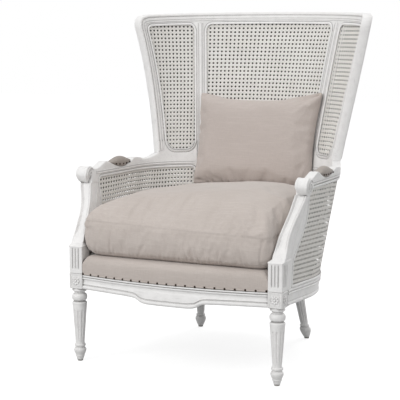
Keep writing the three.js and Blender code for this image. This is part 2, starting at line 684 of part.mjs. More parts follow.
const mirrorT = (line) => line.map(([t, z]) => [-t, z]).reverse();
const minus = (edge) => (z) => -edge(z);
const rearRail = (grow = 0) => {
  const end = grown(blockBack, grow - CLEARANCE);
  return strip(seatRun(minus(end), end, RAIL_BOTTOM), railTop(minus(end), centre.bottom, end),
    -RAIL_PROUD, RAIL_THICKNESS + grow);
};
add('rear_seat_rail', join(rearRail(), patch(rearTenon), mirrored(patch(rearTenon))), 'painted_wood');

// Arm supports and arm rails

const armJoint = ARM_JOINT - CLEARANCE;
/** Outer face of the arm support at one of its rings. */
const supportOuter = (ring, z) =>
  (ring.width === BLOCK ? dieX[1] : shell(angleAtY(ring.front, z), z).x + ring.flare);
const supportSolid = loft(supportRings.map((ring, i) => {
  const z = i === 0 ? RAIL_TOP + CLEARANCE : Math.min(ring.z, armJoint);
  const edge = (y, w) => { const p = shell(angleAtY(y, z), z, w); p.y = y; return p; };
  const outer = supportOuter(ring, z);
  const rear = shell(supportRear(z), z).y;
  const thick = ring.front + BLOCK;
  const thin = Math.min(thick + SUPPORT_STEP, rear - OVERRUN);
  const inner = outer - ring.width;
  return [
    new THREE.Vector3(outer, ring.front, z), edge(Math.min(thick, thin - OVERRUN), 0), edge(thin, 0), edge(rear, 0),
    edge(rear, FRAME_THICKNESS), edge(thin, FRAME_THICKNESS),
    new THREE.Vector3(inner, Math.min(thick, thin - OVERRUN), z), new THREE.Vector3(inner, ring.front, z),
  ];
}));
const flutes = [0, 1, 2].map((i) => (i - (FLUTE.count - 1) / 2) * FLUTE.pitch);
const fluteZ = [RAIL_TOP + FLUTE.margin, lerp(RAIL_TOP, ARM_JOINT, SUPPORT_SHARES[2][0]) - FLUTE.margin];
const blockOuter = supportRings[0].front;
const frontFlutes = flutes.map((x) => box(
  [BLOCK_AXIS + x - FLUTE.width / 2, BLOCK_AXIS + x + FLUTE.width / 2],
  [blockOuter - OVERRUN, blockOuter + FLUTE.depth], fluteZ,
));
const outerX = shell(angleAtY(0, RAIL_TOP), RAIL_TOP).x;
const sideFlutes = flutes.map((y) => box(
  [outerX - FLUTE.depth, outerX + OVERRUN + SUPPORT_STEP], [y - FLUTE.width / 2, y + FLUTE.width / 2], fluteZ,
));
const topRing = supportRings.at(-1);
const armTenon = {
  rear: (z) => angleAtY(topRing.front + BLOCK / 2 + STUB_TENON.width / 2, z),
  front: (z) => angleAtY(topRing.front + BLOCK / 2 - STUB_TENON.width / 2, z),
  low: ARM_JOINT - OVERRUN,
  high: ARM_JOINT + STUB_TENON.length,
  w0: sideW0,
  w1: sideW1,
};
addPair('arm_support', cut(
  join(supportSolid, patch(armTenon)),
  ...frontFlutes, ...sideFlutes,
  box(stub, stubY, [RAIL_TOP - OVERRUN, RAIL_TOP + STUB_TENON.length], CLEARANCE),
), 'painted_wood');

// Upper edge of the arm rail, from the scroll to the foot of the wing.
const wingFootY = shell(wingFront(ARM_TOP), ARM_TOP).y;
const armPoint = (share, rise) => {
  const z = ARM_TOP + rise * ARM_RISE;
  return [angleAtYAny(lerp(SCROLL.y, wingFootY, share), z), z];
};
/** Angle at which the shell has the given y, on the straight side or on the curve. */
function angleAtYAny(y, z) {
  const middle = planAt('centre', z);
  if (y <= middle) return angleAtY(y, z);
  return QUARTER - THREE.MathUtils.radToDeg(Math.asin((y - middle) / planAt('depth', z)));
}
const PAD_STEPS = 8;
const padRun = Array.from({ length: PAD_STEPS + 1 }, (_, i) => i / PAD_STEPS);
const padZ = (share, ends, middle) => ends + (middle - ends) * Math.sin(Math.PI * share);
const padEnds = ARM_TOP + ARM_RISE / 3;
const padHollow = (share) => padZ(share, padEnds, ARM_TOP - PAD_SINK);
const padLine = padRun.map((s) => {
  const z = padHollow(s);
  return [angleAtYAny(PAD_START + s * PAD_LENGTH, z), z];
});
const wingJointZ = WING_LOW + WING_CORNER;
const armUpper = [
  ...ARM_FRONT_SHARES.map(([s, r]) => armPoint(s, r)),
  ...padLine,
  ...ARM_REAR_SHARES.map(([s, r]) => armPoint(s, r)),
  [wingFront(ARM_TOP + WING_FOOT_RISE), ARM_TOP + WING_FOOT_RISE],
  [wingFront(wingJointZ), wingJointZ],
  [wingInner(wingJointZ), wingJointZ],
  ...[...wing.bottom].reverse().slice(1, -1),
  [clear(stileFront, 1)(wingJointZ), wingJointZ],
].reverse();
const armLower = [
  [clear(stileFront, 1)(ARM_JOINT), ARM_JOINT],
  ...side.top.slice(1, -1),
  [supportRear(ARM_JOINT), ARM_JOINT],
  [angleAtY(SCROLL.y + SCROLL.radius, ARM_JOINT), ARM_JOINT],
  [angleAtY(SCROLL.y, ARM_JOINT), ARM_JOINT],
];
const scrollZ = ARM_JOINT + SCROLL.radius;
const scrollX = shell(angleAtY(SCROLL.y, scrollZ), scrollZ, RAIL_THICKNESS / 2).x + SCROLL.out;
const scroll = new THREE.CylinderGeometry(SCROLL.radius, SCROLL.radius, SCROLL.width, LEG_SIDES)
  .rotateZ(Math.PI / 2).rotateX(Math.PI / LEG_SIDES)
  .translate(scrollX, SCROLL.y, scrollZ);
const armRearTenon = {
  rear: into(stileFront, -1), front: beyond(stileFront, 1), w0: sideW0, w1: sideW1,
  low: (ARM_JOINT + WING_LOW - TENON.height) / 2, high: (ARM_JOINT + WING_LOW + TENON.height) / 2,
};
const wingMiddle = (z, length) => shift(wingFront(z), z, -WING_STILE_WIDTH / 2 + length);
const [stileW0, stileW1] = tenonMiddle(FRAME_THICKNESS);
const wingTenon = (low, high) => ({
  rear: (z) => wingMiddle(z, -TENON.length / 2), front: (z) => wingMiddle(z, TENON.length / 2),
  low, high, w0: stileW0, w1: stileW1,
});
const wingFootTenon = wingTenon(wingJointZ - TENON.length, wingJointZ + OVERRUN);
const wingHeadTenon = wingTenon(CREST_JOINT - OVERRUN, CREST_JOINT + TENON.length);
addPair('arm_rail', cut(
  join(strip(armLower, armUpper, 0, RAIL_THICKNESS), scroll, patch(armRearTenon)),
  patch(armTenon, CLEARANCE),
  patch(wingFootTenon, CLEARANCE),
), 'painted_wood');

// Stiles and crest

const uprightLevels = (low, high, levels) =>
  [low, ...levels.filter((z) => z > low && z < high).sort((a, b) => a - b), high];
const edgeLine = (edge, levels) => levels.map((z) => [edge(z), z]);
const postFoot = RAIL_BOTTOM - postDrop;
const postTop = seatLevel(SEAT_PLAN.stile, RAIL_TOP);
const stileLevels = uprightLevels(postTop - OVERRUN, CREST_JOINT - CLEARANCE, [...tallLevels, ...supportLevels]);
const stileTenon = {
  rear: (z) => shift(planAt('stile', z), z, -TENON.length / 2),
  front: (z) => shift(planAt('stile', z), z, TENON.length / 2),
  low: CREST_JOINT - OVERRUN, high: CREST_JOINT + TENON.length, w0: stileW0, w1: stileW1,
};
const postRun = (level, grow) => [seatEnd(grown(blockBack, -grow), level), seatEnd(grown(blockFront, grow), level)];
const postBlock = (grow = 0) =>
  strip(postRun(RAIL_BOTTOM, grow), postRun(RAIL_TOP, grow), -RAIL_PROUD, POST_BLOCK + grow);
addPair('back_stile', cut(
  join(
    strip(edgeLine(stileRear, stileLevels), edgeLine(stileFront, stileLevels), 0, FRAME_THICKNESS),
    postBlock(),
    patch(stileTenon),
  ),
  patch(sideRearTenon, CLEARANCE),
  patch(rearTenon, CLEARANCE),
  patch(armRearTenon, CLEARANCE),
  post(rearHead.x, rearHead.y, postFoot - POST_BLOCK, rearTop + DOWEL.length + CLEARANCE,
    DOWEL.radius + CLEARANCE),
), 'painted_wood');

const wingLevels = uprightLevels(wingJointZ + CLEARANCE, CREST_JOINT - CLEARANCE, tallLevels);
addPair('wing_stile', join(
  strip(edgeLine(wingInner, wingLevels), edgeLine(wingFront, wingLevels), 0, FRAME_THICKNESS),
  patch(wingFootTenon),
  patch(wingHeadTenon),
), 'painted_wood');

const crestEnd = wingFront(CREST_TOP - CREST_ARCH);
const cornerArc = Array.from({ length: ARC_STEPS + 2 }, (_, i) => {
  const turn = (Math.PI / 2) * (i / (ARC_STEPS + 1));
  const z = crestTop(crestEnd) - CREST_CORNER * (1 - Math.cos(turn));
  return [shift(wingFront(z), z, -CREST_CORNER * (1 - Math.sin(turn))), z];
});
const CREST_STEPS = 16;
const crestRun = Array.from({ length: CREST_STEPS - 1 }, (_, i) =>
  lerp(-cornerArc[0][0], cornerArc[0][0], (i + 1) / CREST_STEPS))
  .map((t) => [t, crestTop(t)]);
const crestUpper = [...mirrorT(cornerArc), ...crestRun, ...cornerArc];
const crestLowerHalf = [
  ...wing.top,
  [wingFront(CREST_JOINT), CREST_JOINT],
];
const crestLower = [...mirrorT(crestLowerHalf), ...centre.top, ...crestLowerHalf];
const crestMortises = [patch(stileTenon, CLEARANCE), patch(wingHeadTenon, CLEARANCE)];
add('crest_rail', cut(
  strip(crestLower, crestUpper, 0, FRAME_THICKNESS),
  ...crestMortises, ...crestMortises.map(mirrored),
), 'painted_wood');

// Cane

const sheetOuter = SPLINE_THICKNESS - SPLINE_PROUD + CLEARANCE;
const sheetInner = FRAME_THICKNESS - sheetOuter - SHEET_THICKNESS;
const outerReed = [-SPLINE_PROUD, -SPLINE_PROUD + SPLINE_THICKNESS];
const innerReed = [FRAME_THICKNESS + SPLINE_PROUD - SPLINE_THICKNESS, FRAME_THICKNESS + SPLINE_PROUD];
for (const [name, place, outline] of [['back', add, centre], ['wing', addPair, wing], ['side', addPair, side]]) {
  place(`${name}_cane_inner`, sheet(outline, sheetInner), 'cane');
  place(`${name}_cane_outer`, sheet(outline, sheetOuter), 'cane');
  place(`${name}_spline_inner`, spline(outline, ...innerReed), 'painted_wood');
  place(`${name}_spline_outer`, spline(outline, ...outerReed), 'painted_wood');
}

// Inside the seat

// What stands round the seat's inner parts, with a clearance added.
const round = [
  frontRail(CLEARANCE), rearRail(CLEARANCE), sideRail(CLEARANCE), mirrored(sideRail(CLEARANCE)),
  postBlock(CLEARANCE), mirrored(postBlock(CLEARANCE)),
  box(dieX, dieY, [RAIL_BOTTOM, RAIL_TOP], CLEARANCE),
  box([-dieX[1], -dieX[0]], dieY, [RAIL_BOTTOM, RAIL_TOP], CLEARANCE),
];
const inShell = (t, w) => { const p = shell(t, seatLevel(t, RAIL_BOTTOM), w); return [p.x, p.y]; };
const ring = (half) => [...half, ...mirrorX(half)];

/** Angles round one side of the shell from y to the middle of the back, in equal steps. */
const sideAngles = (y, count, z = RAIL_BOTTOM) =>
  Array.from({ length: count }, (_, i) => angleAtY(y, z) * (1 - i / (count - 0.5)));

const SEAT_STEPS = 9;
const middleOfRails = ring([
  ...frontStations.map((x) => [x, -bow(x) + RAIL_THICKNESS / 2]),
  [BLOCK_AXIS, 0],
  ...sideAngles(BLOCK, SEAT_STEPS).map((t) => inShell(t, RAIL_THICKNESS / 2)),
]);
const seatPlate = (z0, z1) => toSolid(plate(middleOfRails, z0, z1));

const blockLevels = [CORNER_BLOCK.bottom, CORNER_BLOCK.bottom + CORNER_BLOCK.height];
const frontCorner = [
  [dieX[0] - CORNER_BLOCK.reach, -bow(dieX[0]) + RAIL_THICKNESS / 2], [BLOCK_AXIS, 0],
  inShell(angleAtY(blockRear + CORNER_BLOCK.reach, RAIL_BOTTOM), RAIL_THICKNESS / 2),
];
const { reach, depth } = CORNER_BLOCK;
const rearCorner = [
  [blockFront, reach, 0], [blockFront, 0, 0], [blockBack, 0, 0], [blockBack, -reach, 0],
  [blockBack, -reach, depth], [blockFront, reach, depth],
].map(([edge, length, w]) => inShell(grown(edge, length)(RAIL_BOTTOM), RAIL_THICKNESS / 2 + w));
/** Largest separate body of a solid. */
const largest = (geometry) => fromSolid(toSolid(geometry).decompose().sort((a, b) => b.volume() - a.volume())[0]);
addPair('front_corner_block', largest(cut(followDeck(plate(frontCorner, ...blockLevels)), ...round)), 'raw_wood');
addPair('rear_corner_block', largest(cut(followDeck(plate(rearCorner, ...blockLevels)), ...round)), 'raw_wood');

const straps = Array.from({ length: WEB.count }, (_, i) => (i - (WEB.count - 1) / 2) * WEB.pitch);
const webLevels = [WEB.level, WEB.level + WEB.thickness];
const seatReach = SEAT_PLAN.depth + SEAT_PLAN.centre;
const lattice = [
  ...straps.map((x) => box([x - WEB.width / 2, x + WEB.width / 2], [-seatReach, seatReach], webLevels)),
  ...straps.map((y) => box([-seatReach, seatReach],
    [WEB.middle + y - WEB.width / 2, WEB.middle + y + WEB.width / 2], webLevels)),
].map(toSolid);
const webs = lattice.reduce((all, strap) => all.add(strap)).intersect(seatPlate(...webLevels));
add('seat_webbing', largest(cut(followDeck(fromSolid(webs)), ...round)), 'webbing');

const coverTop = CORNER_BLOCK.bottom - CLEARANCE;
add('dust_cover', largest(cut(followDeck(plate(middleOfRails, coverTop - DUST_COVER, coverTop)), ...round)), 'black_cloth');

/** Outline of the deck at a height, drawn in by an inset from the linen's face. */
function deckRing(z, inset) {
  const side = frontReach - inset;
  const start = blockRear + CLEARANCE + inset;
  return ring([
    ...frontStations.map((x) => [Math.min(x, side), -bow(x) + DECK_FACE + inset]),
    [side, start],
    ...sideAngles(start + SUPPORT_STEP + OVERRUN, SEAT_STEPS, z)
      .map((t) => shell(t, deckLevel(t, z), FRAME_THICKNESS + SEAT_MARGIN + inset)).map((p) => [p.x, p.y]),
  ]).map(([x, y]) => new THREE.Vector3(x, y, z));
}
/** Deck from a height upwards, drawn in all round, with its rounded upper edge. */
const deck = (low, inset) => followDeck(loft([
  deckRing(low, inset),
  ...DECK_ROUND_SHARES.map(([drop, draw]) =>
    deckRing(DECK_TOP - inset - drop * DECK_ROUND, inset + draw * DECK_ROUND)),
]));
const foamInset = DECK_FABRIC + CLEARANCE;
const hemReach = shell(0, HEM).y;
const under = (low, high) => box([-hemReach, hemReach], [-FRONT_FACE + DECK_FACE + foamInset, hemReach], [low, high]);
const plug = followDeck(fromSolid(toSolid(plate(middleOfRails, WEB.level, HEM + OVERRUN))
  .intersect(toSolid(loft([WEB.level + WEB.thickness + CLEARANCE, HEM + OVERRUN]
    .map((z) => deckRing(z, POST_BLOCK - FRAME_THICKNESS)))))));
add('deck_foam', cut(join(cut(deck(SKIRT, foamInset), under(RAIL_BOTTOM, HEM + CLEARANCE)), plug), ...round), 'foam');
add('deck_cover', cut(deck(SKIRT, 0), deck(SKIRT - OVERRUN, DECK_FABRIC), under(RAIL_BOTTOM, HEM),
  frontRail(CLEARANCE)), 'linen');

/** Upholstery nail: a low cone with a flat top, standing on a point and facing a direction. */
function nail(foot, facing) {
  return new THREE.CylinderGeometry(NAIL.radius / 2, NAIL.radius, NAIL.height + NAIL.tape, NAIL.sides)
    .translate(0, (NAIL.height - NAIL.tape) / 2, 0)
    .applyQuaternion(new THREE.Quaternion().setFromUnitVectors(new THREE.Vector3(0, 1, 0), facing))
    .translate(foot.x, foot.y, foot.z);
}
const tapeLow = NAIL.level - NAIL.band / 2;
const tapeHalf = frontStations.map((x) => [x, -bow(x) - CLEARANCE]);
const tape = loft(ring([...tapeHalf].reverse()).reverse().map(([x, y]) => [
  [y, tapeLow], [y, tapeLow + NAIL.band], [y - NAIL.tape, tapeLow + NAIL.band], [y - NAIL.tape, tapeLow],
].map(([a, z]) => new THREE.Vector3(x, a, z))));
const nailX = Array.from({ length: NAIL.count }, (_, i) =>
  lerp(-frontReach + NAIL.radius, frontReach - NAIL.radius, i / (NAIL.count - 1)));
const forward = new THREE.Vector3(0, -1, 0);
add('front_nail_trim', join(tape, ...nailX.map((x) =>
  nail(new THREE.Vector3(x, railFace(x) - CLEARANCE - NAIL.tape, NAIL.level), forward))), 'nail');

// Arm pads

const padCrown = (share) => padZ(share, padEnds + OVERRUN, ARM_TOP + PAD_CROWN);
const padRings = padRun.map((s, i) => {
  const foot = padHollow(s) + CLEARANCE;
  const top = padCrown(s);
  const half = PAD_SECTION_SHARES.map(([w, h, bulge]) => [w * RAIL_THICKNESS - bulge * PAD_BULGE, h]);
  return [...half, ...half.map(([w, h]) => [RAIL_THICKNESS - w, h]).reverse()].map(([w, h]) => {
    const at = shell(padLine[i][0], foot, w);
    at.z = lerp(foot, top, h);
    return at;
  });
});
const padNails = Array.from({ length: PAD_NAIL_COUNT }, (_, i) => {
  const s = (i + 1) / (PAD_NAIL_COUNT + 1);
  const foot = padHollow(s) + CLEARANCE;
  const t = angleAtYAny(PAD_START + s * PAD_LENGTH, padHollow(s));
  return [-1, 1].map((side) => {
    const at = shell(t, foot, side < 0 ? -PAD_BULGE : RAIL_THICKNESS + PAD_BULGE);
    at.z = lerp(foot, padCrown(s), PAD_NAIL_SHARE);
    return nail(at, new THREE.Vector3(-side, 0, 0));
  });
}).flat();
addPair('arm_pad', join(loft(padRings), ...padNails), 'linen');

// Seat cushion

const cushionFoot = DECK_TOP + CLEARANCE;
const cushionHalf = Math.min(...supportRings.map((ring) => supportOuter(ring, ring.z) - ring.width)) - CUSHION_GAP;
const CORNER_STEPS = 3;
/** Outline of the cushion at a share of its height, drawn in by an inset. */
function cushionRing(height, inset, rise = 0) {
  const z = cushionFoot + height * CUSHION_HEIGHT + rise;
  const corner = Array.from({ length: CORNER_STEPS }, (_, i) => {
    const turn = (Math.PI / 2) * (i / (CORNER_STEPS - 1));
    const reach = cushionHalf - inset - CUSHION_CORNER;
    const front = -CUSHION_FRONT + inset + CUSHION_CORNER;
    return [reach + CUSHION_CORNER * Math.sin(turn), front - CUSHION_CORNER * Math.cos(turn)];
  });
  const waist = Math.min(z, ARM_JOINT);
  return ring([
    ...CUSHION_FRONT_SHARES.map((share) => [share * (cushionHalf - inset - CUSHION_CORNER), -CUSHION_FRONT + inset]),
    ...corner,
    ...sideAngles(Math.max(SUPPORT_SWEEP + BLOCK / 4, inset + CUSHION_CORNER), CUSHION_STEPS, waist)
      .map((t) => shell(t, deckLevel(t, waist), FRAME_THICKNESS + SEAT_MARGIN + inset)).map((p) => [p.x, p.y]),
  ]).map(([x, y]) => new THREE.Vector3(x, y, z));
}
/** Cushion with its crown, drawn in by a wall; the fall of the deck fades out towards its top. */
function cushion(wall) {
  const [foot, rest] = [wall / CUSHION_HEIGHT, 1 - (2 * wall) / CUSHION_HEIGHT];
  const body = CUSHION_RINGS.map(([h, inset]) => cushionRing(foot + h * rest, inset + wall));
  const [, edge] = CUSHION_RINGS.at(-1);
  const crown = CROWN_SHARES.map((share) =>
    cushionRing(foot + rest, lerp(edge, CROWN_INSET, share) + wall, CUSHION_CROWN * share * (2 - share)));
  return reshape(loft([...body, ...crown]), (p) => {
    const lift = Math.min(1, (p.z - cushionFoot) / CUSHION_HEIGHT);
    const nose = Math.max(0, 1 - (p.y + CUSHION_FRONT) / CUSHION_NOSE.length) ** 2;
    p.z -= deckDrop(p.y) * (1 - lift) + CUSHION_NOSE.drop * nose * lift;
  });
}
const cushionRear = shell(0, cushionFoot, FRAME_THICKNESS + SEAT_MARGIN).y;
const seamZ = cushionFoot + SLIT.level * CUSHION_HEIGHT - deckDrop(cushionRear) * (1 - SLIT.level);
const slitX = [-SLIT.width / 2, SLIT.width / 2];
add('seat_cushion_cover', cut(cushion(0), cushion(FILL_WALL),
  box(slitX, [cushionRear - SLIT.reach, hemReach + SLIT.reach], [seamZ, seamZ + SLIT.height])), 'linen');
add('seat_cushion_insert', cushion(FILL_WALL + CLEARANCE), 'foam');

// Lumbar pillow

/** Pillow with pointed corners and drawn-in edges, drawn in by a wall. */
function pillow(wall, edgeInset = 0) {
  const across = PILLOW.half - edgeInset;
  const up = PILLOW.height - edgeInset;
  const columns = PILLOW_SHARES.flatMap((s) => (s ? [s, -s] : [s])).sort((a, b) => a - b);
  const rings = columns.map((u) => {
    const half = columns.map((v) => {
      const x = across * u * (1 - PILLOW_NIP_SHARE * (1 - v * v));
      const z = up * v * (1 - PILLOW_NIP_SHARE * (1 - u * u));
      const swell = Math.sqrt((1 - u ** 4) * (1 - v ** 4));
      return [x, lerp(PILLOW.edge / (edgeInset ? 2 : 1), PILLOW.thick - wall, swell), z];
    });
    return [...half.map(([x, y, z]) => new THREE.Vector3(x, -y, z)),
      ...half.map(([x, y, z]) => new THREE.Vector3(x, y, z)).reverse()];
  });
  return loft(rings);
}
const pillowZ = cushionFoot + CUSHION_HEIGHT + PILLOW.rise;
const pillowY = shell(0, pillowZ, FRAME_THICKNESS + SEAT_MARGIN).y - PILLOW.seam;
const settle = (geometry) => geometry.rotateX(-rad(PILLOW.lean)).translate(0, pillowY, pillowZ);
/** The pillow in its place, its back pressed flat against the shell. */
const pressed = (wall, edgeInset) => reshape(settle(pillow(wall, edgeInset)), (p) => {
  const inside = FRAME_THICKNESS + SEAT_MARGIN + wall;
  const across = p.x / (planAt('half', p.z) - inside);
  p.y = Math.min(p.y, planAt('centre', p.z) + (planAt('depth', p.z) - inside) * Math.sqrt(1 - across ** 2));
});
const pillowSlit = box(slitX, [-SLIT.height / 2, SLIT.height / 2], [-PILLOW.height - OVERRUN, -PILLOW.height + SLIT.reach]);
add('lumbar_pillow_cover', cut(pressed(0), pressed(FILL_WALL, PILLOW_INSET), settle(pillowSlit)), 'linen');
add('lumbar_pillow_insert', pressed(FILL_WALL + CLEARANCE, PILLOW_INSET + 2 * CLEARANCE), 'foam');

// The part's origin is under the middle of its bounding box.
const bounds = new THREE.Box3().setFromObject(chair);
chair.position.y = -(bounds.min.y + bounds.max.y) / 2;

export default chair;
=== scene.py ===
"""Caned wing bergere: a horseshoe frame of whitewashed, moulded wood with double caned
panels, a nailed linen deck, a loose seat cushion and a loose lumbar pillow.

The wood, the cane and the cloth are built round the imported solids. Lengths are
millimetres in the maker's frame, where y = 0 is the axis of the front legs and z = 0 is
the floor; they turn into metres of the shared frame when a piece is published.
"""

from __future__ import annotations

import logging
import math
from collections.abc import Callable, Iterable, Sequence
from dataclasses import dataclass, field
from enum import Enum

import bmesh
import bpy
import numpy as np
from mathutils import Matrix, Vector
from mathutils.geometry import delaunay_2d_cdt


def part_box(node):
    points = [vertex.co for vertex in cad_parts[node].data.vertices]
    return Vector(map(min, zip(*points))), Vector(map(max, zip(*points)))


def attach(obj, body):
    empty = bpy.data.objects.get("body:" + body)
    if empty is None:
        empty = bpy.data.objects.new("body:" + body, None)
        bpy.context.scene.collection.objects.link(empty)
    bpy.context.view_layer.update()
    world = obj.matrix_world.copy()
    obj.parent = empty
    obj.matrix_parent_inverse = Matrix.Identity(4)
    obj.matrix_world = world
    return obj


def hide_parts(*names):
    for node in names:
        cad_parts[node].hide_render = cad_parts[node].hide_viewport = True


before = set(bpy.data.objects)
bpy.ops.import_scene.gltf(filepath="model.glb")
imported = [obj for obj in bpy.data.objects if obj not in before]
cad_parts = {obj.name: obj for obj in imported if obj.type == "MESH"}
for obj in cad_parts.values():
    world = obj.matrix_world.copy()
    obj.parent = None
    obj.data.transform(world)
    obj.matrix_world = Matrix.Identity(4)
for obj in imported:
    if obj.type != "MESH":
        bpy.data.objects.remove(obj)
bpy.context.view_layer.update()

LOG = logging.getLogger("bergere")

# Lengths of the maker's frame in metres, the shift of its y, the angle in degrees from which
# an edge is a crease, and the distance in metres within which points are welded.
MM = 0.001
GLIDE_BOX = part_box("front_glide_left")
DEPTH_SHIFT = (GLIDE_BOX[0].y + GLIDE_BOX[1].y) / 2
CREASE = 34.0
WELD = 2e-6
UP = np.array([0.0, 0.0, 1.0])

Array = np.ndarray
Values = np.ndarray | float
Pair = tuple[float, float]
Triple = tuple[float, float, float]
Edge = Callable[[float], float]
Piece = bpy.types.Object


# Small mathematics


def lerp(a: float, b: float, share: float) -> float:
    """Value a share of the way from a to b."""
    return a + (b - a) * share


def flowing(places: Sequence[float], values: Sequence[float], at: Values) -> Array:
    """Runs a curve without overshoot through given values.

    Args:
        places: Rising places of the values.
        values: One value for each place.
        at: Places at which the curve is wanted.

    Returns:
        The curve's values there.
    """
    x, y = np.asarray(places, float), np.asarray(values, float)
    step = np.diff(x)
    slope = np.diff(y) / step
    tangent = np.concatenate([[slope[0]], (slope[1:] + slope[:-1]) / 2, [slope[-1]]])
    flat = slope[1:] * slope[:-1] <= 0
    tangent[1:-1][flat] = 0
    for i, s in enumerate(slope):
        limit = 3 * abs(s)
        tangent[i] = np.clip(tangent[i], -limit, limit)
        tangent[i + 1] = np.clip(tangent[i + 1], -limit, limit)
    q = np.clip(np.asarray(at, float), x[0], x[-1])
    k = np.clip(np.searchsorted(x, q, side="right") - 1, 0, len(step) - 1)
    u = (q - x[k]) / step[k]
    return (
        (1 + 2 * u) * (1 - u) ** 2 * y[k]
        + u * (1 - u) ** 2 * step[k] * tangent[k]
        + u**2 * (3 - 2 * u) * y[k + 1]
        + u**2 * (u - 1) * step[k] * tangent[k + 1]
    )


def half_round(width: float, height: float, sink: float = 1.0, steps: int = 8) -> Array:
    """Section of a bead, as [across, height] points.

    Args:
        width: Width of the bead.
        height: Height of the bead above the face.
        sink: How far its foot reaches under the face.
        steps: Facets over its top.

    Returns:
        Points of the closed section.
    """
    turn = np.linspace(math.pi, 0, steps + 1)
    arc = np.stack([np.cos(turn) * width / 2, np.sin(turn) * height], 1)
    return np.vstack([[-width / 2, -sink], arc, [width / 2, -sink]])


def fillet(width: float, height: float, sink: float = 1.0) -> Array:
    """Section of a flat raised band with eased edges.

    Args:
        width: Width of the band.
        height: Height of the band above the face.
        sink: How far its foot reaches under the face.

    Returns:
        Its [across, height] points.
    """
    ease = min(0.8, height * 0.6)
    reach = width / 2
    return np.array([
        [-reach, -sink], [-reach, height - ease], [-reach + ease, height],
        [reach - ease, height], [reach, height - ease], [reach, -sink],
    ])


def bell(off: Values, width: float) -> Array:
    """A smooth hump of height 1 over 0 that fades within a width."""
    return np.exp(-((off / width) ** 2))


def upright(edge: Edge, heights: Iterable[float]) -> Array:
    """Places [angle, height] of an upright edge at given heights."""
    return np.array([[float(edge(z)), z] for z in heights])


def level(line: Edge, angles: Iterable[float]) -> Array:
    """Places [angle, height] of a level line at given angles."""
    return np.array([[t, float(line(t))] for t in angles])


def across_chair(half: Array) -> Array:
    """A line that starts beside the middle and ends on it, or the reverse, with its mirror image."""
    return np.vstack([half, (half[:-1] * [-1, 1])[::-1]])


# The shell


@dataclass(frozen=True)
class Plan:
    """Plan of the shell at one level: an ellipse round the back, straight flared sides."""

    level: float
    half: float
    depth: float
    centre: float
    flare: float
    stile: float
    wing: float


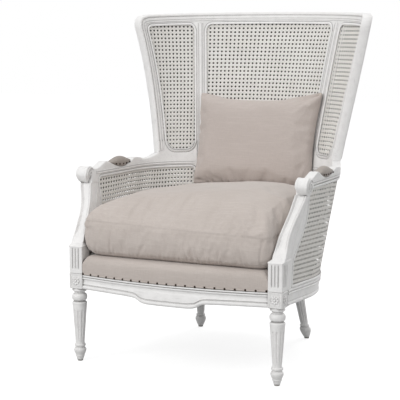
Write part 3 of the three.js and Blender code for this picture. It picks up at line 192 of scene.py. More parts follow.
@dataclass(frozen=True)
class Shell:
    """Horseshoe surface that the seat frame, the arms, the back and the wings follow.

    A place on it is an angle round the plan, from the middle of the back, a height, and
    a depth inwards from its outer face."""

    plans: tuple[Plan, Plan, Plan] = (
        Plan(236, 359, 455, 184, 0, 32.3, 55.1),
        Plan(618, 377, 290, 396, 14, 35.5, 65.6),
        Plan(1042, 436, 324, 465, 60, 37.5, 77.3),
    )
    thickness: float = 28
    stile_width: float = 30
    wing_width: float = 34
    post_width: float = 44
    crest: float = 1106
    crest_arch: float = 13
    crest_face: float = 33
    crest_joint: float = 1038
    crest_corner: float = 45
    slope: float = 0.05
    slope_from: float = 54.25
    front_reach: float = -56
    rail_bottom: float = 235
    rail_top: float = 285

    def value(self, key: str, z: Values) -> Array:
        """A plan value at any height, through its values at the three plans.

        Args:
            key: Which of the plan's values.
            z: Heights.

        Returns:
            The value at each height.
        """
        total = 0.0
        for p in self.plans:
            weight = 1.0
            for q in self.plans:
                if q is not p:
                    weight = weight * (z - q.level) / (p.level - q.level)
            total = total + weight * getattr(p, key)
        return total

    def points(self, t: Values, z: Values, w: Values = 0.0) -> Array:
        """Places on the shell as points.

        Args:
            t: Angles round the plan, in degrees.
            z: Heights.
            w: Depths inside the outer face.

        Returns:
            An array of points, with the coordinates last.
        """
        t, z, w = np.broadcast_arrays(np.asarray(t, float), z, w)
        half, depth = self.value("half", z), self.value("depth", z)
        centre, flare = self.value("centre", z), self.value("flare", z)
        turn = np.abs(t)
        along = np.clip((turn - 90) / 90, 0, None)
        angle = np.radians(np.minimum(turn, 90))
        sin, cos = np.sin(angle), np.cos(angle)
        slope = np.hypot(sin / half, cos / depth)
        x = half * sin - w * sin / half / slope + flare * along
        y = centre + depth * cos - w * cos / depth / slope - centre * along
        return np.stack([np.where(t < 0, -1, 1) * x, y, z.astype(float)], -1)

    def pace(self, t: Values, z: Values) -> Array:
        """Length along the shell of one degree."""
        ahead, behind = self.points(np.add(t, 0.5), z), self.points(np.subtract(t, 0.5), z)
        return np.linalg.norm(ahead - behind, axis=-1)

    def slide(self, t: Values, z: Values, length: float) -> Array:
        """Angle reached from t by going a length round the shell."""
        return t + length / self.pace(t, z)

    def stile_front(self, z: Values) -> Array:
        """Angle of the back stile's edge towards the arm."""
        return self.slide(self.value("stile", z), z, self.stile_width / 2)

    def stile_rear(self, z: Values) -> Array:
        """Angle of the back stile's edge towards the middle of the back."""
        return self.slide(self.value("stile", z), z, -self.stile_width / 2)

    def wing_front(self, z: Values) -> Array:
        """Angle of the wing's front edge."""
        return self.value("wing", z)

    def wing_inner(self, z: Values) -> Array:
        """Angle of the wing stile's edge beside the cane."""
        return self.slide(self.wing_front(z), z, -self.wing_width)

    def crest_top(self, t: Values) -> Array:
        """Height of the crest's upper edge."""
        return self.crest - self.crest_arch * (np.asarray(t) / self.plans[2].wing) ** 2

    def angle_at(self, y: Values, z: Values) -> Array:
        """Angle at which the shell has the given y, on its straight side or its curve.

        Args:
            y: Places from front to back.
            z: Heights.

        Returns:
            The angle at each place.
        """
        centre, depth = self.value("centre", z), self.value("depth", z)
        inside = np.clip((y - centre) / depth, -1, 1)
        curved = 90 - np.degrees(np.arcsin(inside))
        return np.where(y <= centre, 90 * (2 - y / centre), curved)

    def fallen(self, t: Values, level: float, drop: Callable[[Array], Array]) -> Array:
        """Height at an angle of a level that falls towards the back.

        Args:
            t: Angles round the plan.
            level: The height at the front.
            drop: The fall at any y.

        Returns:
            The height at each angle.
        """
        z = np.full(np.shape(t), float(level))
        for _ in range(5):
            z = level - drop(self.points(t, z)[..., 1])
        return z

    def seat_drop(self, y: Values) -> Array:
        """How far the seat frame has dropped at y."""
        return self.slope * np.maximum(0, y - self.slope_from)

    def seat_level(self, t: Values, level: float) -> Array:
        """Height at an angle of a level of the seat frame."""
        return self.fallen(t, level, self.seat_drop)

    def deck_drop(self, y: Values) -> Array:
        """Fall of the deck at y: one plane from the front rail to the rear rail."""
        rear = float(self.points(0, self.rail_bottom)[1])
        return float(self.seat_drop(rear)) * (y - self.front_reach) / (rear - self.front_reach)

    def deck_level(self, t: Values, level: float) -> Array:
        """Height at an angle of a level of the deck."""
        return self.fallen(t, level, self.deck_drop)

    def inset(self, path: Array, length: float, closed: bool) -> Array:
        """Moves a path of [angle, height] sideways along the shell, to its left.

        Args:
            path: The path's places.
            length: How far it moves.
            closed: Whether the path is a loop.

        Returns:
            The moved path.
        """
        scale = self.pace(path[:, 0], path[:, 1])[:, None]
        if closed:
            before, after = np.roll(path, 1, 0), np.roll(path, -1, 0)
        else:
            before = np.vstack([2 * path[0] - path[1], path[:-1]])
            after = np.vstack([path[1:], 2 * path[-1] - path[-2]])
        unit = np.hstack([scale, np.ones_like(scale)])
        along, ahead = (path - before) * unit, (after - path) * unit
        along /= np.linalg.norm(along, axis=1)[:, None] + 1e-9
        ahead /= np.linalg.norm(ahead, axis=1)[:, None] + 1e-9
        normal = along + ahead
        normal /= np.linalg.norm(normal, axis=1)[:, None] + 1e-9
        reach = length / np.sqrt(np.maximum(0.3, (1 + (along * ahead).sum(1)) / 2))
        aside = normal[:, 1] * reach / scale[:, 0]
        return np.stack([path[:, 0] - aside, path[:, 1] + normal[:, 0] * reach], 1)


SHELL = Shell()


# Meshes in the making


@dataclass
class Surface:
    """Points and faces of a mesh in the making, in millimetres."""

    points: list[Array] = field(default_factory=list)
    faces: list[tuple[int, ...]] = field(default_factory=list)
    slots: list[int] = field(default_factory=list)
    count: int = 0
    slot: int = 0

    def add(self, points: Array, faces: Iterable[Sequence[int]]) -> None:
        """Adds points with their faces.

        Args:
            points: The points, in rows of coordinates.
            faces: Their faces, as indices of these points.
        """
        points = np.asarray(points, float).reshape(-1, 3)
        new = [tuple(i + self.count for i in face) for face in faces]
        self.points.append(points)
        self.faces.extend(new)
        self.slots.extend([self.slot] * len(new))
        self.count += len(points)

    @classmethod
    def through(cls, rings: Sequence[Array]) -> Surface:
        """A surface through rings of equal length, capped at its ends.

        Args:
            rings: The rings' points.

        Returns:
            The closed surface.
        """
        made = cls()
        made.grid(rings)
        return made

    def grid(self, rings: Array, closed: bool = False, looped: bool = True, capped: bool = True) -> None:
        """Adds a skin through rings of equal length.

        Args:
            rings: Array of rings, points and coordinates.
            closed: Whether the last ring joins the first.
            looped: Whether each ring closes on itself.
            capped: Whether looped rings that aren't closed get a cap at each end.
        """
        rings = np.asarray(rings, float)
        rows, cols = rings.shape[:2]
        faces: list[tuple[int, ...]] = []
        for i in range(rows if closed else rows - 1):
            a, b = i * cols, (i + 1) % rows * cols
            for j in range(cols if looped else cols - 1):
                k = (j + 1) % cols
                faces.append((a + j, a + k, b + k, b + j))
        if looped and capped and not closed:
            faces += [tuple(reversed(range(cols))), tuple((rows - 1) * cols + j for j in range(cols))]
        self.add(rings, faces)

    def sweep(self, path: Array, section: Array, base: float, outward: int, closed: bool = False) -> None:
        """Adds a moulding that runs along the shell.

        Args:
            path: Places [angle, height] of its middle line.
            section: Points [across, height above the face].
            base: Depth of the face that carries it.
            outward: -1 on the outer face, 1 on the inner face.
            closed: Whether the path is a loop.
        """
        path = np.asarray(path, float)
        rings = [SHELL.points(*SHELL.inset(path, a, closed).T, base + outward * h) for a, h in section]
        self.grid(np.swapaxes(np.array(rings), 0, 1), closed)

    def plate(self, outline: Array, w0: float, w1: float, ease: float = 2.0, mesh: float = 14.0) -> None:
        """Adds a plate of the shell inside an outline, its edges eased.

        Args:
            outline: Closed loop of [angle, height], anticlockwise.
            w0: Depth of its outer face.
            w1: Depth of its inner face.
            ease: Rounding of its edges.
            mesh: Spacing of the points inside its faces.
        """
        part = ease * 0.3
        middle, inner = SHELL.inset(outline, part, True), SHELL.inset(outline, ease, True)
        steps = [(inner, w0), (middle, w0 + part), (outline, w0 + ease),
                 (outline, w1 - ease), (middle, w1 - part), (inner, w1)]
        self.grid(np.array([SHELL.points(*loop.T, w) for loop, w in steps]), capped=False)
        scale = float(SHELL.pace(outline[:, 0].mean(), outline[:, 1].mean()))
        flat = [Vector((t * scale, z)) for t, z in inner]
        shrunk = SHELL.inset(inner, mesh * 0.4, True) * [scale, 1]
        low, high = inner.min(0) * [scale, 1], inner.max(0) * [scale, 1]
        for x in np.arange(low[0] + mesh / 2, high[0], mesh):
            for z in np.arange(low[1] + mesh / 2, high[1], mesh):
                if inside(shrunk, x, z):
                    flat.append(Vector((x, z)))
        places, _, triangles, *_ = delaunay_2d_cdt(flat, [], [list(range(len(inner)))], 1, 1e-5)
        at = np.array([[p.x / scale, p.y] for p in places])
        for depth in (w0, w1):
            self.add(SHELL.points(at[:, 0], at[:, 1], depth), triangles)

    def mirrored(self) -> Surface:
        """The same surface on the other side of the chair."""
        flipped = [p * [-1, 1, 1] for p in self.points]
        return Surface(flipped, [tuple(reversed(f)) for f in self.faces], list(self.slots), self.count)


def inside(loop: Array, x: float, z: float) -> bool:
    """Whether a point lies inside a closed loop of two coordinates.

    Args:
        loop: The loop's points.
        x: The point's first coordinate.
        z: Its second one.

    Returns:
        True if it does.
    """
    a, b = loop, np.roll(loop, -1, 0)
    spans = (a[:, 1] > z) != (b[:, 1] > z)
    rise = np.where(spans, b[:, 1] - a[:, 1], 1)
    return bool(np.count_nonzero(spans & (x < a[:, 0] + (z - a[:, 1]) * (b[:, 0] - a[:, 0]) / rise)) % 2)


def soften(mesh: bpy.types.Mesh, angle: float = CREASE, mend: bool = True) -> None:
    """Welds a mesh, turns its faces outwards and marks its creases sharp.

    Args:
        mesh: The mesh.
        angle: Angle in degrees between faces from which their edge is a crease.
        mend: Whether to weld and turn faces too.
    """
    made = bmesh.new()
    made.from_mesh(mesh)
    if mend:
        bmesh.ops.remove_doubles(made, verts=made.verts, dist=WELD)
        bmesh.ops.recalc_face_normals(made, faces=made.faces)
    limit = math.radians(angle)
    for edge in made.edges:
        edge.smooth = len(edge.link_faces) == 2 and edge.calc_face_angle(0) < limit
    for face in made.faces:
        face.smooth = True
    made.to_mesh(mesh)
    made.free()


def publish(name: str, surface: Surface, finishes: Sequence[Finish],
            replaces: Sequence[str] = (), body: str = "frame", crease: float | None = CREASE) -> Piece:
    """Makes a surface a piece of the chair.

    Args:
        name: Name of the piece.
        surface: Its surface, in millimetres.
        finishes: Its finishes, by the surface's slots.
        replaces: Nodes that it stands for.
        body: Body that it rides on.
        crease: Angle from which edges stay sharp, or None to leave the mesh as it is.

    Returns:
        The new object.
    """
    co = np.vstack(surface.points) * MM
    co[:, 1] += DEPTH_SHIFT
    mesh = bpy.data.meshes.new(name)
    mesh.from_pydata(co.tolist(), [], surface.faces)
    mesh.polygons.foreach_set("material_index", surface.slots)
    for finish in finishes:
        mesh.materials.append(finish.material())
    if crease is None:
        mesh.polygons.foreach_set("use_smooth", [True] * len(mesh.polygons))
    else:
        soften(mesh, crease)
    piece = bpy.data.objects.new(name, mesh)
    bpy.context.scene.collection.objects.link(piece)
    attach(piece, body)
    if replaces:
        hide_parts(*replaces)
    LOG.info("%s: %d faces", name, len(mesh.polygons))
    return piece


def publish_pair(name: str, surface: Surface, finishes: Sequence[Finish],
                 crease: float | None = CREASE) -> list[Piece]:
    """Publishes a piece of the sitter's left side and its mirror image, for their nodes.

    Args:
        name: Name of the nodes without their side.
        surface: Surface of the left one.
        finishes: Its finishes.
        crease: Angle from which edges stay sharp.

    Returns:
        The left and the right piece.
    """
    return [
        publish(f"{name}_{side}_dressed", made, finishes, [f"{name}_{side}"], crease=crease)
        for side, made in (("left", surface), ("right", surface.mirrored()))
    ]


# Finishes


Socket = bpy.types.NodeSocket
FLOAT, COLOUR, VECTOR = "NodeSocketFloat", "NodeSocketColor", "NodeSocketVector"
Tone = tuple[int, int, int]


class Tree:
    """Adds nodes to a node tree and joins them."""

    def __init__(self, tree: bpy.types.NodeTree) -> None:
        """Takes the tree to work on."""
        self.tree = tree

    def node(self, kind: str, inputs: dict[str | int, object] | None = None,
             **settings: object) -> bpy.types.Node:
        """Adds a node.

        Args:
            kind: The node's type.
            inputs: Values or sockets for its inputs.
            settings: Its properties.

        Returns:
            The node.
        """
        made = self.tree.nodes.new(kind)
        for key, value in settings.items():
            setattr(made, key, value)
        for key, value in (inputs or {}).items():
            if isinstance(value, bpy.types.NodeSocket):
                self.tree.links.new(value, made.inputs[key])
            else:
                made.inputs[key].default_value = value
        return made

    def noise(self, vector: object, scale: object, detail: float = 4.0, rough: float = 0.55) -> Socket:
        """Adds a noise and returns its value."""
        sockets = {"Vector": vector, "Scale": scale, "Detail": detail, "Roughness": rough}
        return self.node("ShaderNodeTexNoise", sockets).outputs["Fac"]

    def squeezed(self, vector: object, scale: Triple) -> Socket:
        """Scales a place along each direction and returns it."""
        return self.node("ShaderNodeMapping", {"Vector": vector, "Scale": scale}).outputs[0]

    def hollows(self, distance: float, samples: int) -> Socket:
        """Adds a measure of how open the surface is, 0 in its hollows, and returns it."""
        inputs = {"Distance": distance}
        return self.node("ShaderNodeAmbientOcclusion", inputs, samples=samples).outputs["AO"]

    def math(self, operation: str, a: object, b: object = 0.0, clamp: bool = False) -> Socket:
        """Adds a calculation and returns its value."""
        return self.node("ShaderNodeMath", {0: a, 1: b}, operation=operation, use_clamp=clamp).outputs[0]

    def span(self, value: object, low: float, high: float, to_low: float = 0.0,
             to_high: float = 1.0) -> Socket:
        """Maps a range of values to another and returns the result."""
        sockets = {0: value, 1: low, 2: high, 3: to_low, 4: to_high}
        return self.node("ShaderNodeMapRange", sockets).outputs[0]

    def mix(self, share: object, a: object, b: object) -> Socket:
        """Mixes two colours and returns the result."""
        return self.node("ShaderNodeMix", {0: share, 6: a, 7: b}, data_type="RGBA").outputs[2]


def emptied(owner: bpy.types.Material | bpy.types.World) -> Tree:
    """Turns on the nodes of a material or a world and removes them.

    Args:
        owner: The material or the world.

    Returns:
        Its empty tree.
    """
    owner.use_nodes = True
    owner.node_tree.nodes.clear()
    return Tree(owner.node_tree)


def colour(*tone: int) -> tuple[float, ...]:
    """A screen colour, with channels from 0 to 255, as a scene colour."""
    shares = [c / 255 for c in tone]
    return (*[v / 12.92 if v <= 0.04045 else ((v + 0.055) / 1.055) ** 2.4 for v in shares], 1.0)


def group(name: str, inputs: dict[str, str], outputs: dict[str, str],
          build: Callable[[Tree, bpy.types.Node], dict[str, Socket]]) -> bpy.types.NodeTree:
    """A shader node group, built the first time that it is asked for.

    Args:
        name: The group's name.
        inputs: Its inputs and their socket types.
        outputs: Its outputs and their socket types.
        build: Adds its nodes and returns the sockets that feed its outputs.

    Returns:
        The group's tree.
    """
    if name in bpy.data.node_groups:
        return bpy.data.node_groups[name]
    tree = bpy.data.node_groups.new(name, "ShaderNodeTree")
    for way, sockets in (("INPUT", inputs), ("OUTPUT", outputs)):
        for label, kind in sockets.items():
            tree.interface.new_socket(label, in_out=way, socket_type=kind)
    made = Tree(tree)
    ends = build(made, made.node("NodeGroupInput"))
    last = made.node("NodeGroupOutput")
    for label, socket in ends.items():
        tree.links.new(socket, last.inputs[label])
    return tree


def build_worn_paint(tree: Tree, given: bpy.types.Node) -> dict[str, Socket]:
    """Rubbed paint: grey in the hollows, partly grey left in the grooves and partly painted shade, fine
    streaks of grain, thin patches.

    Args:
        tree: Tree of the group.
        given: The group's inputs.

    Returns:
        The sockets that feed its outputs.
    """
    place = tree.node("ShaderNodeTexCoord").outputs["Object"]
    along_grain = {0: place, 1: given.outputs["Stretch"]}
    streaked = tree.node("ShaderNodeVectorMath", along_grain, operation="MULTIPLY").outputs[0]
    streak = tree.noise(streaked, 260.0, 6.0, 0.7)
    patch = tree.noise(place, 38.0, 5.0, 0.6)
    # Grey in the hollows, found by occlusion: partly grey left in the grooves, partly painted shade of
    # recesses and inner corners.
    crevice = tree.span(tree.hollows(0.009, 8), 0.86, 0.3)
    streaks = tree.math("MULTIPLY", tree.span(streak, 0.52, 0.7), tree.span(patch, 0.35, 0.65))
    worn = tree.math("MULTIPLY", streaks, given.outputs["Wear"])
    # Where the paint is rubbed or lies in a hollow it turns to the hollow tone: wear, grey in the grooves
    # and painted shade together.
    dirt = tree.math("MAXIMUM", tree.math("MULTIPLY", crevice, 0.85), worn, True)
    base = tree.mix(tree.span(patch, 0.3, 0.7), given.outputs["Paint"], given.outputs["Second"])
    return {
        "Color": tree.mix(dirt, base, given.outputs["Hollow"]),
        "Roughness": tree.span(dirt, 0.0, 1.0, 0.5, 0.85),
        "Height": tree.math("SUBTRACT", tree.math("MULTIPLY", streak, 0.6), worn),
    }


def build_weave(tree: Tree, given: bpy.types.Node) -> dict[str, Socket]:
    """Plain weave of uneven yarn, with slubs and faint blotches.

    Args:
        tree: Tree of the group.
        given: The group's inputs.

    Returns:
        The sockets that feed its outputs.
    """
    place = tree.node("ShaderNodeTexCoord").outputs["Object"]
    bend = {"Vector": place, "Scale": 140.0, "Detail": 2.0}
    bent = tree.node("ShaderNodeTexNoise", bend).outputs["Color"]
    moved = tree.node("ShaderNodeMix", {0: 0.0016, 4: place, 5: bent}, data_type="VECTOR").outputs[1]
    weft, warp = (tree.noise(tree.squeezed(moved, squeeze), given.outputs["Count"], 3.0, 0.6)
                  for squeeze in ((0.06, 1.0, 1.0), (1.0, 0.5, 0.06)))
    weave = tree.math("MULTIPLY", tree.math("ADD", weft, warp), 0.5)
    slub = tree.span(tree.noise(tree.squeezed(place, (0.05, 1.0, 1.0)), 210.0, 3.0), 0.48, 0.72)
    blotch = tree.noise(place, 9.0, 3.0)
    shade = tree.math("ADD", tree.math("MULTIPLY", weave, 0.8), tree.math("MULTIPLY", slub, 0.14))
    shade = tree.span(tree.math("ADD", shade, tree.math("MULTIPLY", blotch, 0.3)), 0.25, 0.9)
    return {
        "Color": tree.mix(shade, given.outputs["Dark"], given.outputs["Light"]),
        "Roughness": tree.span(slub, 0.0, 1.0, 0.95, 0.82),
        "Height": tree.math("ADD", weave, tree.math("MULTIPLY", slub, 0.5)),
    }


def build_fibre(tree: Tree, given: bpy.types.Node) -> dict[str, Socket]:
    """Fine fibres with darker pores and painted shade in the hollows, for split cane, raw wood, foam, nylon
    and nails.

    Args:
        tree: Tree of the group.
        given: The group's inputs.

    Returns:
        The sockets that feed its outputs.
    """
    place = tree.node("ShaderNodeTexCoord").outputs["Object"]
    fine = tree.noise(place, given.outputs["Scale"], 5.0, 0.65)
    broad = tree.noise(place, 24.0, 3.0)
    # Painted shade: the tone darkens towards the hollow tone where the surface is enclosed.
    hollow = tree.hollows(0.004, 6)
    shade = tree.math("ADD", tree.math("MULTIPLY", fine, 0.6), tree.math("MULTIPLY", broad, 0.4))
    tone = tree.mix(tree.span(shade, 0.35, 0.65), given.outputs["Dark"], given.outputs["Light"])
    return {
        "Color": tree.mix(tree.span(hollow, 0.75, 0.15, 0.0, 0.6), tone, given.outputs["Hollow"]),
        "Roughness": tree.span(fine, 0.3, 0.7, 0.55, 0.8),
        "Height": fine,
    }


class Effect(Enum):
    """Shared surface effects, each a node group."""

    WORN_PAINT = "worn_paint"
    WEAVE = "weave"
    FIBRE = "fibre"

    def tree(self) -> bpy.types.NodeTree:
        """The effect's node group.

        Returns:
            The group, built the first time.
        """
        ends = {"Color": COLOUR, "Roughness": FLOAT, "Height": FLOAT}
        if self is Effect.WORN_PAINT:
            inputs = {"Paint": COLOUR, "Second": COLOUR, "Hollow": COLOUR, "Stretch": VECTOR,
                      "Wear": FLOAT}
            return group(self.value, inputs, ends, build_worn_paint)
        if self is Effect.WEAVE:
            return group(self.value, {"Dark": COLOUR, "Light": COLOUR, "Count": FLOAT}, ends, build_weave)
        inputs = {"Dark": COLOUR, "Light": COLOUR, "Hollow": COLOUR, "Scale": FLOAT}
        return group(self.value, inputs, ends, build_fibre)


@dataclass(frozen=True)
class Finish:
    """A surface finish: a shared effect with its own values, and a shader.

    Attributes:
        name: Name of the material.
        effect: The effect that colours it.
        values: The effect's values.
        bump: Height of its relief, in millimetres.
        sheen: Sheen of its fibres.
        metal: Whether it is bare metal.
        gloss: Specular level.
    """

    name: str
    effect: Effect
    values: tuple[tuple[str, object], ...]
    bump: float = 0.25
    sheen: float = 0.0
    metal: float = 0.0
    gloss: float = 0.35

    def material(self) -> bpy.types.Material:
        """The finish's material, built the first time that it is asked for.

        Returns:
            The material.
        """
        if self.name in bpy.data.materials:
            return bpy.data.materials[self.name]
        made = bpy.data.materials.new(self.name)
        tree = emptied(made)
        effect = tree.node("ShaderNodeGroup", node_tree=self.effect.tree())
        for key, value in self.values:
            effect.inputs[key].default_value = value
        relief = tree.node("ShaderNodeBump", {
            "Height": effect.outputs["Height"], "Distance": self.bump * MM, "Strength": 0.8,
        })
        shader = tree.node("ShaderNodeBsdfPrincipled", {
            "Base Color": effect.outputs["Color"],
            "Roughness": effect.outputs["Roughness"],
            "Normal": relief.outputs["Normal"],
            "Metallic": self.metal,
            "Specular IOR Level": self.gloss,
            "Sheen Weight": self.sheen,
            "Sheen Roughness": 0.5,
        })
        tree.node("ShaderNodeOutputMaterial", {0: shader.outputs[0]})
        return made


def whitewash(name: str, stretch: Triple, wear: float = 0.8) -> Finish:
    """Whitewashed paint whose streaks follow the wood's grain, grey in its hollows partly as painted shade.

    Args:
        name: Name of the finish.
        stretch: Squeeze of the streaks along each direction; small values make them long.
        wear: How much of it is rubbed.

    Returns:
        The finish.
    """
    return Finish(name, Effect.WORN_PAINT, (
        ("Paint", colour(243, 242, 241)), ("Second", colour(235, 234, 233)),
        # Grey of the hollows and of the rubbed streaks; in the hollows it is partly grey left in the
        # grooves, partly painted shade.
        ("Hollow", colour(126, 123, 121)), ("Stretch", stretch), ("Wear", wear),
    ), bump=0.15)


def cloth(name: str, dark: Tone, light: Tone, count: float = 620.0) -> Finish:
    """Linen between two tones, with a count of threads.

    Args:
        name: Name of the material.
        dark: Tone between the threads.
        light: Tone of their crowns.
        count: Scale of the threads' noise.

    Returns:
        The finish.
    """
    return Finish(name, Effect.WEAVE, (
        ("Dark", colour(*dark)), ("Light", colour(*light)), ("Count", count),
    ), bump=0.35, sheen=0.25, gloss=0.15)


def fibrous(name: str, dark: Tone, light: Tone, hollow: Tone, scale: float = 900.0) -> Finish:
    """Fibrous surface between two tones, with a third painted in its hollows as shade.

    Args:
        name: Name of the material.
        dark: Darker tone.
        light: Lighter tone.
        hollow: Tone of the painted shade in the hollows.
        scale: Scale of the fibres' noise.

    Returns:
        The finish.
    """
    return Finish(name, Effect.FIBRE, (
        ("Dark", colour(*dark)), ("Light", colour(*light)), ("Hollow", colour(*hollow)), ("Scale", scale),
    ), bump=0.15, gloss=0.25)


UPRIGHT = whitewash("whitewash_upright", (1.0, 1.0, 0.12), 0.3)
LEVEL = whitewash("whitewash_level", (0.12, 0.2, 1.0), 0.25)
TURNED = whitewash("whitewash_turned", (1.0, 1.0, 0.2), 0.3)
CARVED = whitewash("whitewash_carved", (0.8, 0.8, 0.8), 0.22)
# The third tone of each fibre finish, here and for the nails below, is the painted shade of its hollows.
CANE = fibrous("cane_painted", (234, 231, 226), (246, 244, 240), (186, 180, 172))
# Sides of the strands that face the cavity between the two sheets: unpainted cane, made near black as
# painted shade of the cavity so that the holes read dark.
CANE_BACK = fibrous("cane_unpainted", (40, 33, 27), (62, 52, 43), (18, 15, 12))
RAW_WOOD = fibrous("raw_beech", (146, 108, 70), (186, 148, 104), (84, 60, 40), 300.0)
LINEN = cloth("linen_seat", (184, 174, 167), (208, 199, 193))
PILLOW_LINEN = cloth("linen_pillow", (184, 173, 167), (206, 196, 190))
PAD_LINEN = cloth("linen_pad", (146, 138, 131), (184, 175, 168))
FOAM = fibrous("foam", (214, 200, 150), (238, 226, 184), (170, 154, 104), 700.0)
WEBBING = cloth("jute_webbing", (122, 96, 62), (168, 138, 98), 300.0)
DUST_CLOTH = cloth("dust_cloth", (24, 24, 24), (46, 45, 44))
NAIL_METAL = Finish("aged_nail", Effect.FIBRE, (
    ("Dark", colour(38, 32, 28)), ("Light", colour(78, 66, 56)), ("Hollow", colour(18, 15, 13)),
    ("Scale", 500.0),
), bump=0.05, metal=0.85, gloss=0.5)
NYLON = fibrous("nylon_glide", (150, 147, 143), (176, 173, 169), (100, 97, 94), 400.0)


# Turned legs


@dataclass
class TurnedLeg:
    """A turned, fluted leg between a foot and a head on an axis that may lean."""

    profile: tuple[Pair, ...]
    radius: float
    foot: Triple
    head: Triple
    fluted: Pair
    flutes: int = 10
    depth: float = 0.14

    def surface(self) -> Surface:
        """The leg's skin: rings that follow the axis, hollowed where the flutes run.

        Returns:
            The closed surface.
        """
        fine: list[float] = []
        for (a, _), (b, _) in zip(self.profile, self.profile[1:]):
            fine.extend(np.linspace(a, b, 3 + int((b - a) * 80), endpoint=False))
        heights = np.array([*fine, 1.0])
        radii = self.radius * np.interp(heights, *zip(*self.profile))
        turn = np.linspace(0, 2 * math.pi, self.flutes * 10, endpoint=False)
        low, high = self.fluted
        taper = np.clip((heights - low) / 0.07, 0, 1) ** 0.7
        taper *= np.clip((high - heights) / 0.02, 0, 1) ** 0.5
        wave = np.abs(np.cos(turn * self.flutes / 2))[None, :]
        width = np.clip(taper, 0.02, 1)[:, None]
        hollow = np.clip((wave - 0.72 - (1 - width) * 0.27) / 0.28, 0, 1) ** 0.6
        reach = radii[:, None] * (1 - self.depth * hollow * (taper > 0)[:, None])
        axis = np.array(self.foot) + heights[:, None] * (np.array(self.head) - self.foot)
        rings = np.stack([
            axis[:, :1] + reach * np.cos(turn), axis[:, 1:2] + reach * np.sin(turn),
            np.repeat(axis[:, 2:], len(turn), 1),
        ], -1)
        return Surface.through(rings)


def rosette(made: Surface, middle: Array, out: Array, radius: float) -> None:
    """Adds a carved rosette of eight petals round a boss.

    Args:
        made: Surface that it is added to.
        middle: Its middle on the carved face.
        out: Direction out of the face.
        radius: Its radius.
    """
    across = np.cross(UP, out)
    turn = np.linspace(0, 2 * math.pi, 96, endpoint=False)
    petal = np.abs(np.cos(turn * 4))
    rings = []
    for share, rise in ((1.0, -1.2), (0.98, 0.8), (0.9, 2.4), (0.72, 3.3), (0.5, 2.6), (0.34, 0.9),
                        (0.3, 0.8), (0.28, 2.4), (0.2, 3.8), (0.08, 4.4)):
        leaf = 1 - 0.26 * (1 - petal**0.6) * max(0.0, (share - 0.3) / 0.7)
        height = rise * (1 - 0.45 * (1 - petal**0.7) * (share > 0.35)) if rise > 0 else rise
        reach = radius * share * leaf
        height = np.broadcast_to(height, turn.shape)
        rings.append(middle + (reach * np.cos(turn))[:, None] * across
                     + (reach * np.sin(turn))[:, None] * UP + height[:, None] * out)
    made.grid(np.array(rings))


def square_die(made: Surface, low: Array, high: Array, faces: Sequence[tuple[Array, float]]) -> None:
    """Adds a square block with eased edges, and a border and a rosette on some faces.

    Args:
        made: Surface that it is added to.
        low: Its lowest corner.
        high: Its highest corner.
        faces: Outward direction of each carved face, and the size of its rosette.
    """
    ease = 1.6
    cut = ease * 0.8
    rings = []
    for z, draw in ((low[2], ease), (low[2] + ease, 0.0), (high[2] - ease, 0.0), (high[2], ease)):
        x0, y0, x1, y1 = low[0] + draw, low[1] + draw, high[0] - draw, high[1] - draw
        rings.append([[x, y, z] for x, y in (
            (x0 + cut, y0), (x1 - cut, y0), (x1, y0 + cut), (x1, y1 - cut),
            (x1 - cut, y1), (x0 + cut, y1), (x0, y1 - cut), (x0, y0 + cut))])
    made.grid(np.array(rings))
    middle, half = (low + high) / 2, (high - low) / 2
    for out, size in faces:
        across = np.cross(UP, out)
        face = middle + out * np.abs(out @ half)
        width = abs(across @ half)
        for draw, wide, tall in ((3.4, 3.0, 1.2), (8.2, 1.6, 0.8)):
            section = half_round(wide, tall, 0.8, 6)
            reach, rise = width - draw, half[2] - draw
            made.grid(np.array([
                [face + across * (cx * (reach - a)) + UP * (cz * (rise - a)) + out * h for a, h in section]
                for cx, cz in ((-1, -1), (1, -1), (1, 1), (-1, 1))
            ]), closed=True)
        rosette(made, face, out, size)


